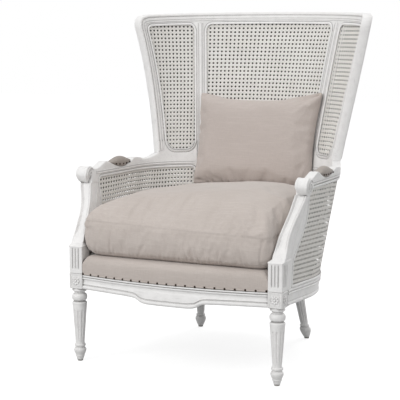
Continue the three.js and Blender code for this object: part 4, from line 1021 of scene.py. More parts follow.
@dataclass
class Legs:
    """The four legs: turned and fluted, the front ones with carved dies."""

    axis: float = 338
    block: float = 46
    front_radius: float = 23.7
    rear_radius: float = 20.5
    glide: float = 4.3
    rosette: float = 13.5
    lap: float = 0.5
    rear_foot: Pair = (201, 598)
    front_profile: tuple[Pair, ...] = (
        (0, 0.4), (0.012, 0.45), (0.03, 0.49), (0.045, 0.53), (0.05, 0.6), (0.06, 0.62), (0.068, 0.6),
        (0.074, 0.62), (0.1, 0.74), (0.125, 0.82), (0.14, 0.83), (0.155, 0.79), (0.165, 0.7),
        (0.17, 0.63), (0.18, 0.62), (0.186, 0.68), (0.194, 0.745), (0.205, 0.76), (0.214, 0.745),
        (0.222, 0.69), (0.226, 0.62), (0.235, 0.62), (0.25, 0.6), (0.77, 0.965), (0.785, 0.99),
        (0.795, 0.995), (0.803, 0.97), (0.81, 0.89), (0.815, 0.78), (0.819, 0.7), (0.824, 0.7),
        (0.829, 0.8), (0.838, 0.92), (0.852, 0.99), (0.87, 1.02), (0.885, 1.02), (0.9, 0.99),
        (0.914, 0.91), (0.922, 0.8), (0.928, 0.7), (0.938, 0.68), (0.946, 0.7), (0.953, 0.82),
        (0.962, 0.95), (0.972, 0.98), (0.982, 0.95), (0.986, 0.9), (1, 0.9),
    )
    rear_profile: tuple[Pair, ...] = (
        (0, 0.44), (0.012, 0.5), (0.05, 0.68), (0.1, 0.86), (0.13, 0.92), (0.155, 0.9), (0.175, 0.78),
        (0.185, 0.68), (0.192, 0.74), (0.2, 0.79), (0.212, 0.77), (0.225, 0.62), (0.24, 0.61),
        (0.26, 0.64), (0.72, 0.84), (0.735, 0.88), (0.745, 0.96), (0.765, 1.0), (0.785, 0.96),
        (0.795, 0.88), (0.82, 0.87), (0.9, 0.94), (0.95, 1.0), (1, 1.02),
    )

    def build(self) -> None:
        """Builds the legs."""
        half = self.block / 2
        front = TurnedLeg(self.front_profile, self.front_radius, (self.axis, 0, self.glide),
                          (self.axis, 0, SHELL.rail_bottom + self.lap), (0.27, 0.7)).surface()
        square_die(front, np.array([self.axis - half, -half, SHELL.rail_bottom]),
                   np.array([self.axis + half, half, SHELL.rail_top]),
                   [(np.array([0.0, -1.0, 0.0]), self.rosette), (np.array([1.0, 0.0, 0.0]), self.rosette)])
        publish_pair("front_leg", front, [TURNED])
        seat = SHELL.plans[0]
        head = SHELL.points(seat.stile, SHELL.rail_bottom, SHELL.post_width / 2)
        drop = float(SHELL.seat_drop(SHELL.points(seat.stile, seat.level)[1]))
        rear = TurnedLeg(self.rear_profile, self.rear_radius, (*self.rear_foot, self.glide),
                         (head[0], head[1], SHELL.rail_bottom - drop + self.lap), (0.25, 0.7)).surface()
        publish_pair("rear_leg", rear, [TURNED])


# Seat frame


@dataclass
class SeatFrame:
    """Serpentine front rail, moulded side and rear rails, and what stands inside them."""

    reach: float = 314.7
    face: float = 20
    bow: float = 36
    bow_reach: float = 315
    thickness: float = 30
    proud: float = 3
    drop: float = 20
    drops: tuple[Pair, ...] = (
        (0.0, 1.0), (0.16, 1.0), (0.28, 0.85), (0.36, 0.25), (0.46, 0.1), (0.62, 0.03), (0.8, 0.0),
        (1.0, 0.0),
    )
    rebate: float = 3
    rebate_from: float = 281
    top: float = 300
    die_rear: float = 23.3
    clearance: float = 0.3

    def face_at(self, x: Values) -> Array:
        """The front rail's face at x."""
        return -(self.face + self.bow * (1 - (np.asarray(x, float) / self.bow_reach) ** 2))

    def bottom_at(self, x: Values) -> Array:
        """The front rail's lower edge at x."""
        return SHELL.rail_bottom - self.drop * flowing(*zip(*self.drops), np.abs(x) / self.reach)

    def front_section(self) -> tuple[Array, Array, Array]:
        """Section of the front rail.

        Returns:
            Depths behind the face, heights, and which of these stand over the lower edge.
        """
        rows = [
            (self.thickness, 0, 1), (self.thickness, self.top, 0), (self.rebate, self.top, 0),
            (self.rebate, self.rebate_from, 0), (0.8, self.rebate_from, 0), (-0.4, 280.3, 0),
            (-1.0, 278.8, 0), (-1.0, 276.6, 0), (0.6, 275.4, 0), (3.0, 274.8, 0), (2.0, 273.8, 0),
            (0.0, 272.6, 0), (-0.9, 270.8, 0), (-0.2, 269.0, 0), (1.6, 268.0, 0), (3.6, 267.2, 0),
            (4.6, 264.5, 0), (4.8, 261.0, 0), (4.2, 257.0, 0), (3.2, 254.8, 0), (2.9, 254.0, 0),
            (1.4, 17.0, 1), (2.6, 16.2, 1), (4.0, 14.6, 1), (3.4, 13.0, 1), (1.0, 12.0, 1),
            (-1.0, 9.6, 1), (-1.6, 6.8, 1), (-1.0, 3.8, 1), (0.6, 1.8, 1), (2.4, 0.5, 1), (4.4, 0, 1),
        ]
        table = np.array(rows, float)
        return table[:, 0], table[:, 1], table[:, 2]

    def front(self) -> Surface:
        """The front rail's skin.

        Returns:
            The closed surface.
        """
        behind, height, follows = self.front_section()
        rings = []
        for x in np.linspace(-self.reach, self.reach, 181):
            low = float(self.bottom_at(x))
            z = np.where(follows > 0, low + height, height)
            rings.append(np.stack([np.full_like(z, x), self.face_at(x) + behind, z], 1))
        return Surface.through(rings)

    def rail(self, start: float, end: float, step: float) -> Surface:
        """A rail of the shell, moulded on its outer face.

        Args:
            start: Angle of its rear end.
            end: Angle of its front end.
            step: Angle from one of its rings to the next.

        Returns:
            Its surface.
        """
        proud, thick = -self.proud, self.thickness
        section = np.array([
            (thick, 0), (thick, 50), (1.0, 50), (0, 48.8), (-0.8, 47.4), (-1.6, 46.4), (-1.8, 44.6),
            (-1.0, 43.0), (0.4, 42.4), (0.4, 41.0), (-0.8, 40.4), (-2.2, 39.0), (proud, 37.2),
            (-2.2, 35.4), (-1.0, 34.2), (0.2, 33.6), (0.8, 31.0), (0.6, 27.0), (0.2, 24.6),
            (0.2, 14.4), (1.0, 13.6), (1.0, 12.0), (-0.6, 11.0), (-2.2, 9.0), (proud, 6.6),
            (-2.6, 3.8), (-1.0, 1.4), (1.5, 0.2), (4, 0),
        ])
        rings = []
        for t in np.arange(start, end + step / 2, step):
            low, high = (float(SHELL.seat_level(t, level))
                         for level in (SHELL.rail_bottom, SHELL.rail_top))
            z = low + section[:, 1] * (high - low) / (SHELL.rail_top - SHELL.rail_bottom)
            rings.append(SHELL.points(t, z, section[:, 0]))
        return Surface.through(rings)

    def build(self) -> None:
        """Builds the rails and gives the pieces inside the seat their finishes."""
        publish("front_seat_rail_dressed", self.front(), [LEVEL], ["front_seat_rail"])
        low, beside = SHELL.rail_bottom, SHELL.post_width / 2 + self.clearance
        block = float(SHELL.slide(SHELL.plans[0].stile, low, beside))
        rear = float(SHELL.slide(SHELL.plans[0].stile, low, -beside))
        die = float(SHELL.angle_at(self.die_rear, low))
        publish_pair("side_seat_rail", self.rail(block, die, (die - block) / 110), [LEVEL])
        publish("rear_seat_rail_dressed", self.rail(-rear, rear, 2 * rear / 40), [LEVEL],
                ["rear_seat_rail"])
        dress("seat_webbing", WEBBING)
        dress("dust_cover", DUST_CLOTH)
        for end in ("front", "rear"):
            for side in ("left", "right"):
                dress(f"{end}_corner_block_{side}", RAW_WOOD)
                dress(f"{end}_glide_{side}", NYLON)


def dress(node: str, finish: Finish) -> None:
    """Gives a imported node's own object a finish.

    Args:
        node: Name of the node.
        finish: The finish.
    """
    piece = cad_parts[node]
    if piece.material_slots:
        for slot in piece.material_slots:
            slot.material = finish.material()
    else:
        piece.data.materials.append(finish.material())
    LOG.info("%s: finished in %s", node, finish.name)


# Openings for the cane


@dataclass(frozen=True)
class Opening:
    """Caned opening of the shell, between two uprights, a lower and an upper edge."""

    rear: Edge
    front: Edge
    low: Edge
    high: Edge
    low_corner: float
    high_corner: float
    high_drop: Edge
    anywhere: float = 400.0

    def corner(self, edge: Edge, inward: float, line: Edge, radius: float, rise: Edge) -> Array:
        """Places round a corner, from its upright to its level edge.

        Args:
            edge: The upright edge.
            inward: 1 where the opening lies forwards of that edge, -1 where it lies behind.
            line: The level edge.
            radius: Rounding along the shell.
            rise: Rounding up the shell at an angle, negative where it goes down.

        Returns:
            The places.
        """
        places = []
        for turn in np.linspace(0, math.pi / 2, 9):
            t = float(edge(self.anywhere))
            z = float(line(t))
            for _ in range(5):
                z = float(line(t)) + float(rise(t)) * (1 - math.sin(turn))
                t = float(SHELL.slide(edge(z), z, inward * radius * (1 - math.cos(turn))))
            places.append([t, z])
        return np.array(places)

    def edges(self) -> tuple[Array, Array, Array, Array]:
        """Its lower, front, upper and rear edges; the level ones run forwards, the others up.

        Returns:
            Places [angle, height] of each edge.
        """
        sides = ((self.rear, 1), (self.front, -1))
        levels = ((self.low, self.low_corner, lambda t: self.low_corner),
                  (self.high, self.high_corner, lambda t: -self.high_drop(t)))
        low, high = ([self.corner(edge, inward, *line) for edge, inward in sides] for line in levels)

        def between(start: float, end: float, step: float) -> Array:
            """Values at about equal steps between two others, without these."""
            return np.linspace(start, end, max(3, int(abs(end - start) / step)))[1:-1]

        def round_corners(rear: Array, front: Array, line: Edge) -> Array:
            """A level edge with its corners."""
            return np.vstack([rear, level(line, between(rear[-1][0], front[-1][0], 1.3)), front[::-1]])

        return (
            round_corners(*low, self.low), upright(self.front, between(low[1][0][1], high[1][0][1], 11)),
            round_corners(*high, self.high), upright(self.rear, between(low[0][0][1], high[0][0][1], 11)),
        )

    def loop(self) -> Array:
        """Its outline, anticlockwise."""
        bottom, front, top, rear = self.edges()
        return np.vstack([bottom, front, top[::-1], rear[::-1]])


@dataclass(frozen=True)
class Support:
    """Outline of the arm support: a fluted block that sweeps back into the arm."""

    joint: float = 554
    block: float = 46
    axis: float = 338
    sweep: float = 117
    rear_sweep: float = 125
    flare: float = 9
    step: float = 8
    rings: tuple[tuple[float, float, float, float], ...] = (
        (0, 0, 0.25, 1), (0.205, 0, 0.25, 1), (0.31, 0, 0.27, 1), (0.345, 0.12, 0.31, 0.96),
        (0.395, 0.2, 0.4, 0.95), (0.483, 0.32, 0.58, 0.93), (0.577, 0.436, 0.77, 0.91),
        (0.688, 0.624, 0.93, 0.88), (0.832, 0.83, 1, 0.84), (1, 1, 0.96, 0.83),
    )

    def columns(self) -> dict[str, Array]:
        """Heights of the rings, and the front, the rear, the outside and the width at each.

        Returns:
            The columns by name.
        """
        share, front, rear, width = np.array(self.rings).T
        z = SHELL.rail_top + share * (self.joint - SHELL.rail_top)
        y = -self.block / 2 + front * self.sweep
        outer = SHELL.points(SHELL.angle_at(y, z), z)[:, 0] + front**3 * self.flare
        outer = np.where(width == 1, self.axis + self.block / 2, outer)
        return {"z": z, "front": y, "rear": self.block / 2 + rear * self.rear_sweep, "outer": outer,
                "width": width * self.block}

    def at(self, key: str, z: Values) -> Array:
        """One of the columns at a height."""
        made = self.columns()
        return flowing(made["z"], made[key], z)

    def rear_angle(self, z: Values) -> Array:
        """Angle of its rear edge, which is the caned side's front edge."""
        made = self.columns()
        return SHELL.angle_at(np.interp(z, made["z"], made["rear"]), z)


SUPPORT = Support()
WING_LOW = 621.0
ARM_LOW = 578.0


def crest_lower(t: float) -> float:
    """Height of the crest's lower edge at an angle."""
    return float(SHELL.crest_top(t)) - SHELL.crest_face


OPENINGS = {
    "back": Opening(lambda z: -SHELL.stile_rear(z), SHELL.stile_rear,
                    lambda t: float(SHELL.seat_level(t, SHELL.rail_top)), crest_lower,
                    6.0, 28.0, lambda t: crest_lower(t) - SHELL.crest_joint),
    "wing": Opening(SHELL.stile_front, SHELL.wing_inner, lambda t: WING_LOW, crest_lower,
                    40.0, 28.0, lambda t: crest_lower(t) - SHELL.crest_joint),
    "side": Opening(SHELL.stile_front, SUPPORT.rear_angle,
                    lambda t: float(SHELL.seat_level(t, SHELL.rail_top)), lambda t: ARM_LOW,
                    6.0, ARM_LOW - SUPPORT.joint, lambda t: ARM_LOW - SUPPORT.joint),
}


# Cane


class Layer(Enum):
    """The two sheets of cane in an opening: depth of the middle, and side that shows."""

    INNER = (23.9, 1)
    OUTER = (4.1, -1)


@dataclass
class Cane:
    """Hand-woven cane: pairs of strands up and across, single ones on both diagonals."""

    pitch: float = 13.5
    pair: float = 3.9
    strand: float = 3.4
    slant: float = 3.4
    body: float = 0.14
    lift: float = 0.08
    tuck: float = 5.5
    lean: tuple[tuple[str, float], ...] = (("_left", -0.05), ("_right", 0.0))

    def spans(self, loop: Array, start: Array, along: Array) -> list[Pair]:
        """Stretches of a line that lie inside a loop.

        Args:
            loop: The loop's points.
            start: A point of the line.
            along: The line's direction.

        Returns:
            Distances along the line at which each stretch starts and ends.
        """
        a, b = loop, np.roll(loop, -1, 0)
        normal = np.array([-along[1], along[0]])
        da, db = (a - start) @ normal, (b - start) @ normal
        cross = (da > 0) != (db > 0)
        share = da[cross] / (da[cross] - db[cross])
        hits = np.sort((a[cross] + share[:, None] * (b[cross] - a[cross]) - start) @ along)
        return [(float(p), float(q)) for p, q in zip(hits[::2], hits[1::2]) if q - p > 2]

    def weave(self, opening: Opening, layer: Layer, rise_back: float = 0.0) -> dict[str, Surface]:
        """Weaves an opening's sheet.

        Args:
            opening: The opening.
            layer: Which of its two sheets.
            rise_back: Rise of its rows towards the rear, for each step along.

        Returns:
            The straight and the slanted strands.
        """
        depth, side = layer.value
        loop = SHELL.inset(opening.loop(), self.tuck, True)
        middle = float((loop[:, 1].min() + loop[:, 1].max()) / 2)
        turns = np.linspace(loop[:, 0].min() - 4, loop[:, 0].max() + 4, 500)
        paces = SHELL.pace((turns[1:] + turns[:-1]) / 2, middle)
        run = np.concatenate([[0], np.cumsum(paces * np.diff(turns))])
        run -= np.interp((loop[:, 0].min() + loop[:, 0].max()) / 2, turns, run)
        flat = np.stack([np.interp(loop[:, 0], turns, run), loop[:, 1]], 1)
        flat[:, 1] += rise_back * flat[:, 0]
        low, high = flat.min(0), flat.max(0)
        shift = np.array([0.0, middle]) + (self.pitch / 2 if layer is Layer.OUTER else 0.0)
        made = {"straight": Surface(), "slanted": Surface()}

        def lay(surface: Surface, start: Array, along: Array, width: float, step: float,
                height: Callable[[Array], Array]) -> None:
            """Lays one strand in each stretch of a line.

            Args:
                surface: Surface that they are added to.
                start: A point of the line.
                along: The line's direction.
                width: Width of the strand.
                step: Distance from one of its rings to the next.
                height: Its height over the sheet's middle at given places.
            """
            across = np.array([-along[1], along[0]]) * width / 2
            for first, last in self.spans(flat, start, along):
                at = np.linspace(first, last, max(2, int((last - first) / step) + 1))
                places = start + at[:, None] * along
                rise = height(places)
                ring = []
                for sideways, up in ((-1, 0), (-0.5, self.body), (0.5, self.body), (1, 0), (0, -self.body)):
                    along_run, over = (places + sideways * across).T
                    ring.append(SHELL.points(
                        np.interp(along_run, run, turns), over - rise_back * along_run,
                        depth + side * (rise + up),
                    ))
                surface.grid(np.swapaxes(np.array(ring), 0, 1))
                rows = len(at) - 1
                # Faces towards the cavity and the end caps take the second finish, the near-black painted
                # shade of the cavity.
                surface.slots[-(rows * 5 + 2):] = [0, 0, 0, 1, 1] * rows + [1, 1]

        begin = np.array([0.0, shift[1]])
        for axis in (0, 1):
            along, lift = np.eye(2)[1 - axis], (-self.lift, self.lift)[axis]
            first, last = ((end[axis] - begin[axis]) / self.pitch for end in (low, high))
            for k in range(int(first) - 2, int(last) + 3):
                for offset in (-self.pair / 2, self.pair / 2):
                    start = (shift[axis] + k * self.pitch + offset) * np.eye(2)[axis]
                    lay(made["straight"], start, along, self.strand, self.pitch,
                        lambda p: np.full(len(p), lift))
        reach = int((high[0] - low[0] + high[1] - low[1]) / self.pitch) + 3

        def over_and_under(places: Array) -> Array:
            """Height of a slanted strand, which goes over some pairs and under the others."""
            return 0.02 - 0.2 * np.cos(2 * math.pi * (places[:, 0] - shift[0]) / self.pitch)

        for way in (1.0, -1.0):
            along = np.array([1.0, way]) / math.sqrt(2)
            for k in range(-reach, reach):
                start = np.array([shift[0], shift[1] + (k + 0.5) * self.pitch])
                lay(made["slanted"], start, along, self.slant, self.pitch * 0.36, over_and_under)
        return made

    def build(self) -> None:
        """Weaves both sheets of every opening."""
        for name, opening in OPENINGS.items():
            for layer in Layer:
                for side, lean in (("", 0.0),) if name == "back" else self.lean:
                    label = f"{name}_cane_{layer.name.lower()}{side}"
                    for kind, made in self.weave(opening, layer, lean if name == "side" else 0.0).items():
                        stands_for = [label] if kind == "straight" else []
                        publish(f"{label}_{kind}", made.mirrored() if side == "_right" else made,
                                [CANE, CANE_BACK], stands_for, crease=None)


# Back, wings and crest


@dataclass
class Back:
    """Back stiles, wing stiles and crest rail with their mouldings, and the reeds."""

    face_low: float = 0.6
    wing_foot: float = 661
    ease: float = 3.0
    lap: float = 2.6
    rosette: float = 12.5
    foot_proud: float = 3.0

    @property
    def faces(self) -> tuple[tuple[float, int], tuple[float, int]]:
        """Depth and outward side of the outer and the inner face."""
        return (self.face_low, -1), (SHELL.thickness - self.face_low, 1)

    def edge_run(self) -> Array:
        """The outer edge from the wing's foot over its corner to the middle of the crest.

        Returns:
            Its places [angle, height].
        """
        top = float(SHELL.crest_top(SHELL.wing_front(SHELL.crest - SHELL.crest_arch)))
        radius = SHELL.crest_corner
        edge = upright(SHELL.wing_front, np.linspace(self.wing_foot, top - radius, 40))
        corner = []
        for turn in np.linspace(0, math.pi / 2, 13)[1:]:
            z = top - radius * (1 - math.sin(turn))
            corner.append([float(SHELL.slide(SHELL.wing_front(z), z, -radius * (1 - math.cos(turn)))), z])
        return np.vstack([edge, corner, level(SHELL.crest_top, np.linspace(corner[-1][0], 0, 60)[1:])])

    def lines(self, made: Surface, path: Array, rows: Sequence[tuple[float, Array]]) -> None:
        """Runs mouldings along a path on both faces.

        Args:
            made: Surface that they are added to.
            path: The path.
            rows: Distance to the left of the path, and section, of each.
        """
        for offset, section in rows:
            line = SHELL.inset(path, offset, False)
            for depth, outward in self.faces:
                made.sweep(line, section, depth, outward)

    @property
    def rows(self) -> tuple[tuple[float, Array], ...]:
        """Mouldings that follow the outer edge: a roll, a fascia and a small bead."""
        return ((5.6, half_round(8.6, 3.0)), (16.4, fillet(8.0, 1.6)), (25.6, half_round(4.0, 2.3)))

    def strip(self, rear: Edge, front: Edge, heights: Array) -> Array:
        """Outline between two upright edges, anticlockwise."""
        down = upright(rear, heights[::-1][:-1])
        return np.vstack([upright(rear, heights[:1]), upright(front, heights), down])

    def stile(self) -> Surface:
        """A back stile with its square foot and its raised middle.

        Returns:
            The stile's surface.
        """
        made = Surface()
        low = float(SHELL.seat_level(SHELL.plans[0].stile, SHELL.rail_top)) - 3
        heights = np.linspace(low, SHELL.crest_joint + self.lap, 66)
        outline = self.strip(SHELL.stile_rear, SHELL.stile_front, heights)
        made.plate(outline, self.face_low, SHELL.thickness - self.face_low, 1.6, 12.0)
        heights = np.linspace(low + 1, SHELL.crest_joint + 30, 66)
        middle = upright(lambda z: SHELL.value("stile", z), heights)
        self.lines(made, middle, (
            (0.0, half_round(11.0, 3.2)), (-9.6, half_round(3.6, 2.0)), (9.6, half_round(3.6, 2.0)),
        ))
        ends = []
        for level in (SHELL.rail_bottom, SHELL.rail_top):
            row = []
            for side in (-1, 1):
                t = float(SHELL.slide(SHELL.plans[0].stile, level, side * SHELL.post_width / 2))
                row.append([t, float(SHELL.seat_level(t, level))])
            ends.append(row)
        foot = np.array([ends[0][0], ends[0][1], ends[1][1], ends[1][0]])
        made.plate(np.vstack([np.linspace(foot[i], foot[(i + 1) % 4], 6)[:-1] for i in range(4)]),
                   -self.foot_proud, SHELL.post_width, 2.0, 12.0)
        centre = foot.mean(0)
        at = SHELL.points(*centre, -self.foot_proud)
        out = at - SHELL.points(*centre, 0.0)
        out /= np.linalg.norm(out)
        rosette(made, at, out, self.rosette)
        return made

    def wing_stile(self) -> Surface:
        """A wing's front stile.

        Returns:
            The stile's surface.
        """
        made = Surface()
        heights = np.linspace(self.wing_foot - self.lap, SHELL.crest_joint + self.lap, 36)
        outline = self.strip(SHELL.wing_inner, SHELL.wing_front, heights)
        made.plate(outline, self.face_low, SHELL.thickness - self.face_low, self.ease, 12.0)
        run = self.edge_run()
        path = run[run[:, 1] <= SHELL.crest_joint + 4]
        path = path[: int(np.argmax(path[:, 1])) + 1]
        self.lines(made, path, self.rows)
        return made

    def crest(self) -> Surface:
        """The crest rail with the wings' rounded upper corners.

        Returns:
            The rail's surface.
        """
        made = Surface()
        run = self.edge_run()
        half = run[np.argmax(run[:, 1] >= SHELL.crest_joint - 0.5):]
        half[0] = [float(SHELL.wing_front(SHELL.crest_joint)), SHELL.crest_joint]
        top = across_chair(half)
        wing, back = (OPENINGS[name].edges()[2] for name in ("wing", "back"))
        outline = np.vstack([(wing * [-1, 1])[::-1], back, wing, top])
        made.plate(outline, self.face_low, SHELL.thickness - self.face_low, self.ease, 13.0)
        self.lines(made, top, self.rows)
        return made

    def reeds(self) -> None:
        """The reed round each opening, on both faces."""
        for name, opening in OPENINGS.items():
            path = SHELL.inset(opening.loop(), 4.2, True)
            for layer, (depth, outward) in (("outer", (1.0, -1)), ("inner", (SHELL.thickness - 1.0, 1))):
                made = Surface()
                made.sweep(path, half_round(8.2, 2.7, 1.6, 8), depth, outward, closed=True)
                label = f"{name}_spline_{layer}"
                if name == "back":
                    publish(f"{label}_dressed", made, [UPRIGHT], [label])
                else:
                    publish_pair(label, made, [UPRIGHT])

    def build(self) -> None:
        """Builds the stiles, the crest and the reeds."""
        publish_pair("back_stile", self.stile(), [UPRIGHT])
        publish_pair("wing_stile", self.wing_stile(), [UPRIGHT])
        publish("crest_rail_dressed", self.crest(), [LEVEL], ["crest_rail"])
        self.reeds()


# Arms


@dataclass
class Arms:
    """Arm supports with fluted blocks and scooped fronts, and arm rails with scrolls."""

    thickness: float = 30
    top: float = 607
    rise: float = 22
    scroll: tuple[float, float, float, float] = (28, 40, 105, 376)
    pad_start: float = 222
    pad_length: float = 160
    pad_sink: float = 14
    front: tuple[Pair, ...] = ((0.02, -0.3), (0.09, -0.36), (0.15, -0.1), (0.2, 0.25), (0.25, 0.5))
    rear: tuple[Pair, ...] = ((0.8, 0.18), (0.82, -0.08), (0.9, 0), (0.95, 0.22))
    waist: float = 8.0
    flute_pitch: float = 10.5
    flute_width: float = 4.6
    flute_depth: float = 3.2
    cap_level: float = 371.5
    face_low: float = 0.4
    moulded_from: float = 136
    clearance: float = 0.3

    def hollow(self, share: Values) -> Array:
        """Height of the wood under the pad, at a share of the pad's length."""
        ends = self.top + self.rise / 3
        return ends + (self.top - self.pad_sink - ends) * np.sin(math.pi * np.asarray(share))

    def flutes(self, place: Array, z: Array) -> Array:
        """Depth of the block's flutes.

        Args:
            place: Distances from the middle of its face.
            z: Heights.

        Returns:
            The depth at each place.
        """
        low, high = SHELL.rail_top + 11.5, self.cap_level - 6
        ends = np.clip(np.minimum(z - low, high - z) / 5, 0, 1) ** 0.5
        total = np.zeros(np.broadcast(place, z).shape)
        for k in (-1, 0, 1):
            across = np.abs(place - k * self.flute_pitch) / (self.flute_width / 2)
            total = total + np.sqrt(np.clip(1 - across**2, 0, 1)) * self.flute_depth * ends
        return total

    def support(self) -> Surface:
        """An arm support's skin, ring by ring.

        Returns:
            The closed surface.
        """
        s = SUPPORT
        neck = self.cap_level + 16
        fine, coarse = np.arange(SHELL.rail_top, neck, 1.6), np.arange(neck, s.joint + 2, 5.0)
        u, v = np.linspace(0, 1, 47), np.linspace(0, 1, 41)[1:-1]
        rings = []
        for z in (*fine, *coarse, s.joint + 2.6):
            front = float(s.at("front", z))
            rear = float(np.interp(z, s.columns()["z"], s.columns()["rear"]))
            outer, width = float(s.at("outer", z)), float(s.at("width", z))
            over = z - self.cap_level
            waist = self.waist * math.sin(math.pi * min(max((over - 8) / (s.joint - neck), 0), 1)) ** 1.2
            inner_face = outer - width
            outer, width = outer - waist, width - waist
            cap = 2.2 * float(bell(over, 3.2)) - 1.2 * float(bell(over - 7.5, 2.2))
            edge = np.minimum(u, 1 - u) * width
            block = float(np.clip((4 - over) / 6, 0, 1))
            rising = float(np.clip((over - 14) / 26, 0, 1))
            scoop = 8.0 * rising * np.sin(math.pi * u) ** 1.1
            bead = 2.4 * rising * (bell(edge - 3.4, 1.7) - 0.8 * bell(edge - 7.4, 1.3))
            corner = 1.8 * np.clip(1 - edge / 1.8, 0, 1) ** 2
            y = front - cap + corner + scoop - bead + self.flutes((u - 0.5) * width, np.array(z)) * block
            face = np.stack([outer + cap - (width + 2 * cap) * u, y, np.full_like(u, z)], 1)
            thick = front + s.block
            thin = min(thick + s.step, rear - 2)
            thick = min(thick, thin - 2)
            depth = front + corner[0] + (thick - front) * v
            away = np.minimum(v, 1 - v) * (thick - front)
            side = self.flutes((v - 0.5) * s.block, np.array(z)) * block
            groove = 1.4 * rising * bell(away - 8, 1.6)
            outside = SHELL.points(SHELL.angle_at(depth, z), z)[:, 0]
            blend = np.clip(v * 1.5, 0, 1)
            x_out = outer * (1 - blend) + np.maximum(outside, outer - 4) * blend
            inner = np.stack([np.full_like(v, inner_face - cap) + groove, depth, np.full_like(v, z)], 1)
            outward = np.stack([x_out + cap - side - groove, depth, np.full_like(v, z)], 1)[::-1]

            thin_part = [
                SHELL.points(float(SHELL.angle_at(place, z)), z, w) for place, w in (
                    (thin, SHELL.thickness), (rear - 1.5, SHELL.thickness),
                    (rear, SHELL.thickness - 1.5),
                    (rear, 1.5), (rear - 1.5, 0), (thin, 0))
            ]
            rings.append(np.vstack([face, inner, thin_part, outward]))
        return Surface.through(rings)

    def upper(self) -> Array:
        """The arm's upper edge from the scroll to the foot of the wing, as y and z.

        Returns:
            Its points.
        """
        start = self.scroll[2]
        foot = float(SHELL.points(SHELL.wing_front(self.top), self.top)[1])
        front, rear = ([(lerp(start, foot, s), self.top + r * self.rise) for s, r in rows]
                       for rows in (self.front, self.rear))
        hollow = [(self.pad_start + s * self.pad_length, float(self.hollow(s)))
                  for s in np.linspace(0, 1, 13)]
        return np.array(front + hollow + rear)

    def rail(self) -> Surface:
        """An arm rail with its scroll, and the foot that carries the wing.

        Returns:
            The rail's surface.
        """
        made = Surface()
        given = self.upper()
        y = np.arange(given[0, 0], given[-1, 0], 3.0)
        z = flowing(given[:, 0], given[:, 1], y)
        top = np.stack([SHELL.angle_at(y, z), z], 1)
        joint, lip, scroll_y = SUPPORT.joint, WING_LOW + 40, self.scroll[2]
        clear, lip_clear = (float(SHELL.slide(SHELL.stile_front(z), z, self.clearance))
                            for z in (joint, lip))
        bottom, side_top = OPENINGS["wing"].edges()[0], OPENINGS["side"].edges()[2]
        ahead = [[float(SHELL.angle_at(scroll_y + off, joint)), joint] for off in (28, 8, -4)]
        foot = upright(SHELL.wing_front, (WING_LOW, WING_LOW + 10, WING_LOW + 24, lip))
        outline = np.vstack([
            [[clear, joint]], side_top[1:-1], [[float(SUPPORT.rear_angle(joint)), joint]], ahead,
            top, foot, upright(SHELL.wing_inner, [lip]), bottom[::-1][1:-1], [[lip_clear, lip]],
        ])
        low, high = self.face_low, self.thickness - self.face_low
        made.plate(outline, low, high, 3.2, 11.0)
        ends = clear + 1.5, float(SHELL.angle_at(self.moulded_from, ARM_LOW))
        run = level(lambda t: ARM_LOW + 6.5, np.linspace(*ends, 60))
        rim = SHELL.inset(bottom[::-1], -5.5, False)[1:-1]
        wing = upright(SHELL.wing_front, np.linspace(WING_LOW + 6, lip, 9))
        rows = [(run, half_round(5.0, 2.2)), (SHELL.inset(run, 6.0, False), half_round(3.0, 1.6)),
                (rim, half_round(3.6, 2.0)), (SHELL.inset(rim, -6.0, False), half_round(3.0, 1.8))]
        rows += [(SHELL.inset(wing, offset, False), section) for offset, section in Back().rows]
        for depth, outward in ((low, -1), (high, 1)):
            for path, section in rows:
                made.sweep(path, section, depth, outward)
        self.scroll_on(made)
        return made

    def scroll_on(self, made: Surface) -> None:
        """Adds the scroll at the arm's front: a waisted roll with a spiral on each end.

        Args:
            made: Surface that it is added to.
        """
        radius, width, y, x = self.scroll
        z = SUPPORT.joint + radius
        turn = np.linspace(0, 2 * math.pi, 72, endpoint=False)
        half = [(1, 0.05), (1, 0.9), (0.93, 0.98), (0.8, 1.0), (0.62, 0.985), (0.55, 0.95), (0.48, 0.965)]
        rows = [(-a, r) for a, r in half] + [(0, 0.95)] + half[::-1]
        middle = np.array([x, y, z])

        def curled(points: Array) -> Array:
            """Narrows the roll's lower half and draws it back into the support.

            Args:
                points: Points of the plain roll.

            Returns:
                The points, moved.
            """
            low = np.clip((z - points[..., 2]) / radius, 0, 1)
            points = points.copy()
            points[..., 0] = x + (points[..., 0] - x) * (1 - 0.34 * low)
            points[..., 1] += 7.0 * low
            return points

        made.grid(curled(np.array([
            np.stack([np.full_like(turn, x + a * width / 2), y + radius * r * np.cos(turn),
                      z + radius * r * np.sin(turn)], 1) for a, r in rows
        ])))
        for side in (-1, 1):
            curl = np.linspace(0, 3.6 * math.pi, 90)
            reach = radius * (0.84 - 0.66 * curl / curl[-1])
            rings = []
            for angle, far in zip(curl, reach):
                out = np.array([0.0, math.cos(angle + 0.6), math.sin(angle + 0.6)])
                place = middle + [side * width / 2, 0, 0] + out * far
                rings.append([place + out * a + [side * h, 0, 0] for a, h in half_round(4.4, 2.4, 0.8, 6)])
            made.grid(curled(np.array(rings)))
            eye = [[middle + [side * (width / 2 + h), r * math.cos(a), r * math.sin(a)] for a in turn[::3]]
                   for r, h in ((4.6, -0.5), (4.6, 0.8), (3.4, 2.0), (1.2, 2.6))]
            made.grid(curled(np.array(eye)))

    def build(self) -> None:
        """Builds the supports and the arm rails."""
        publish_pair("arm_support", self.support(), [CARVED])
        publish_pair("arm_rail", self.rail(), [CARVED])


# Studio


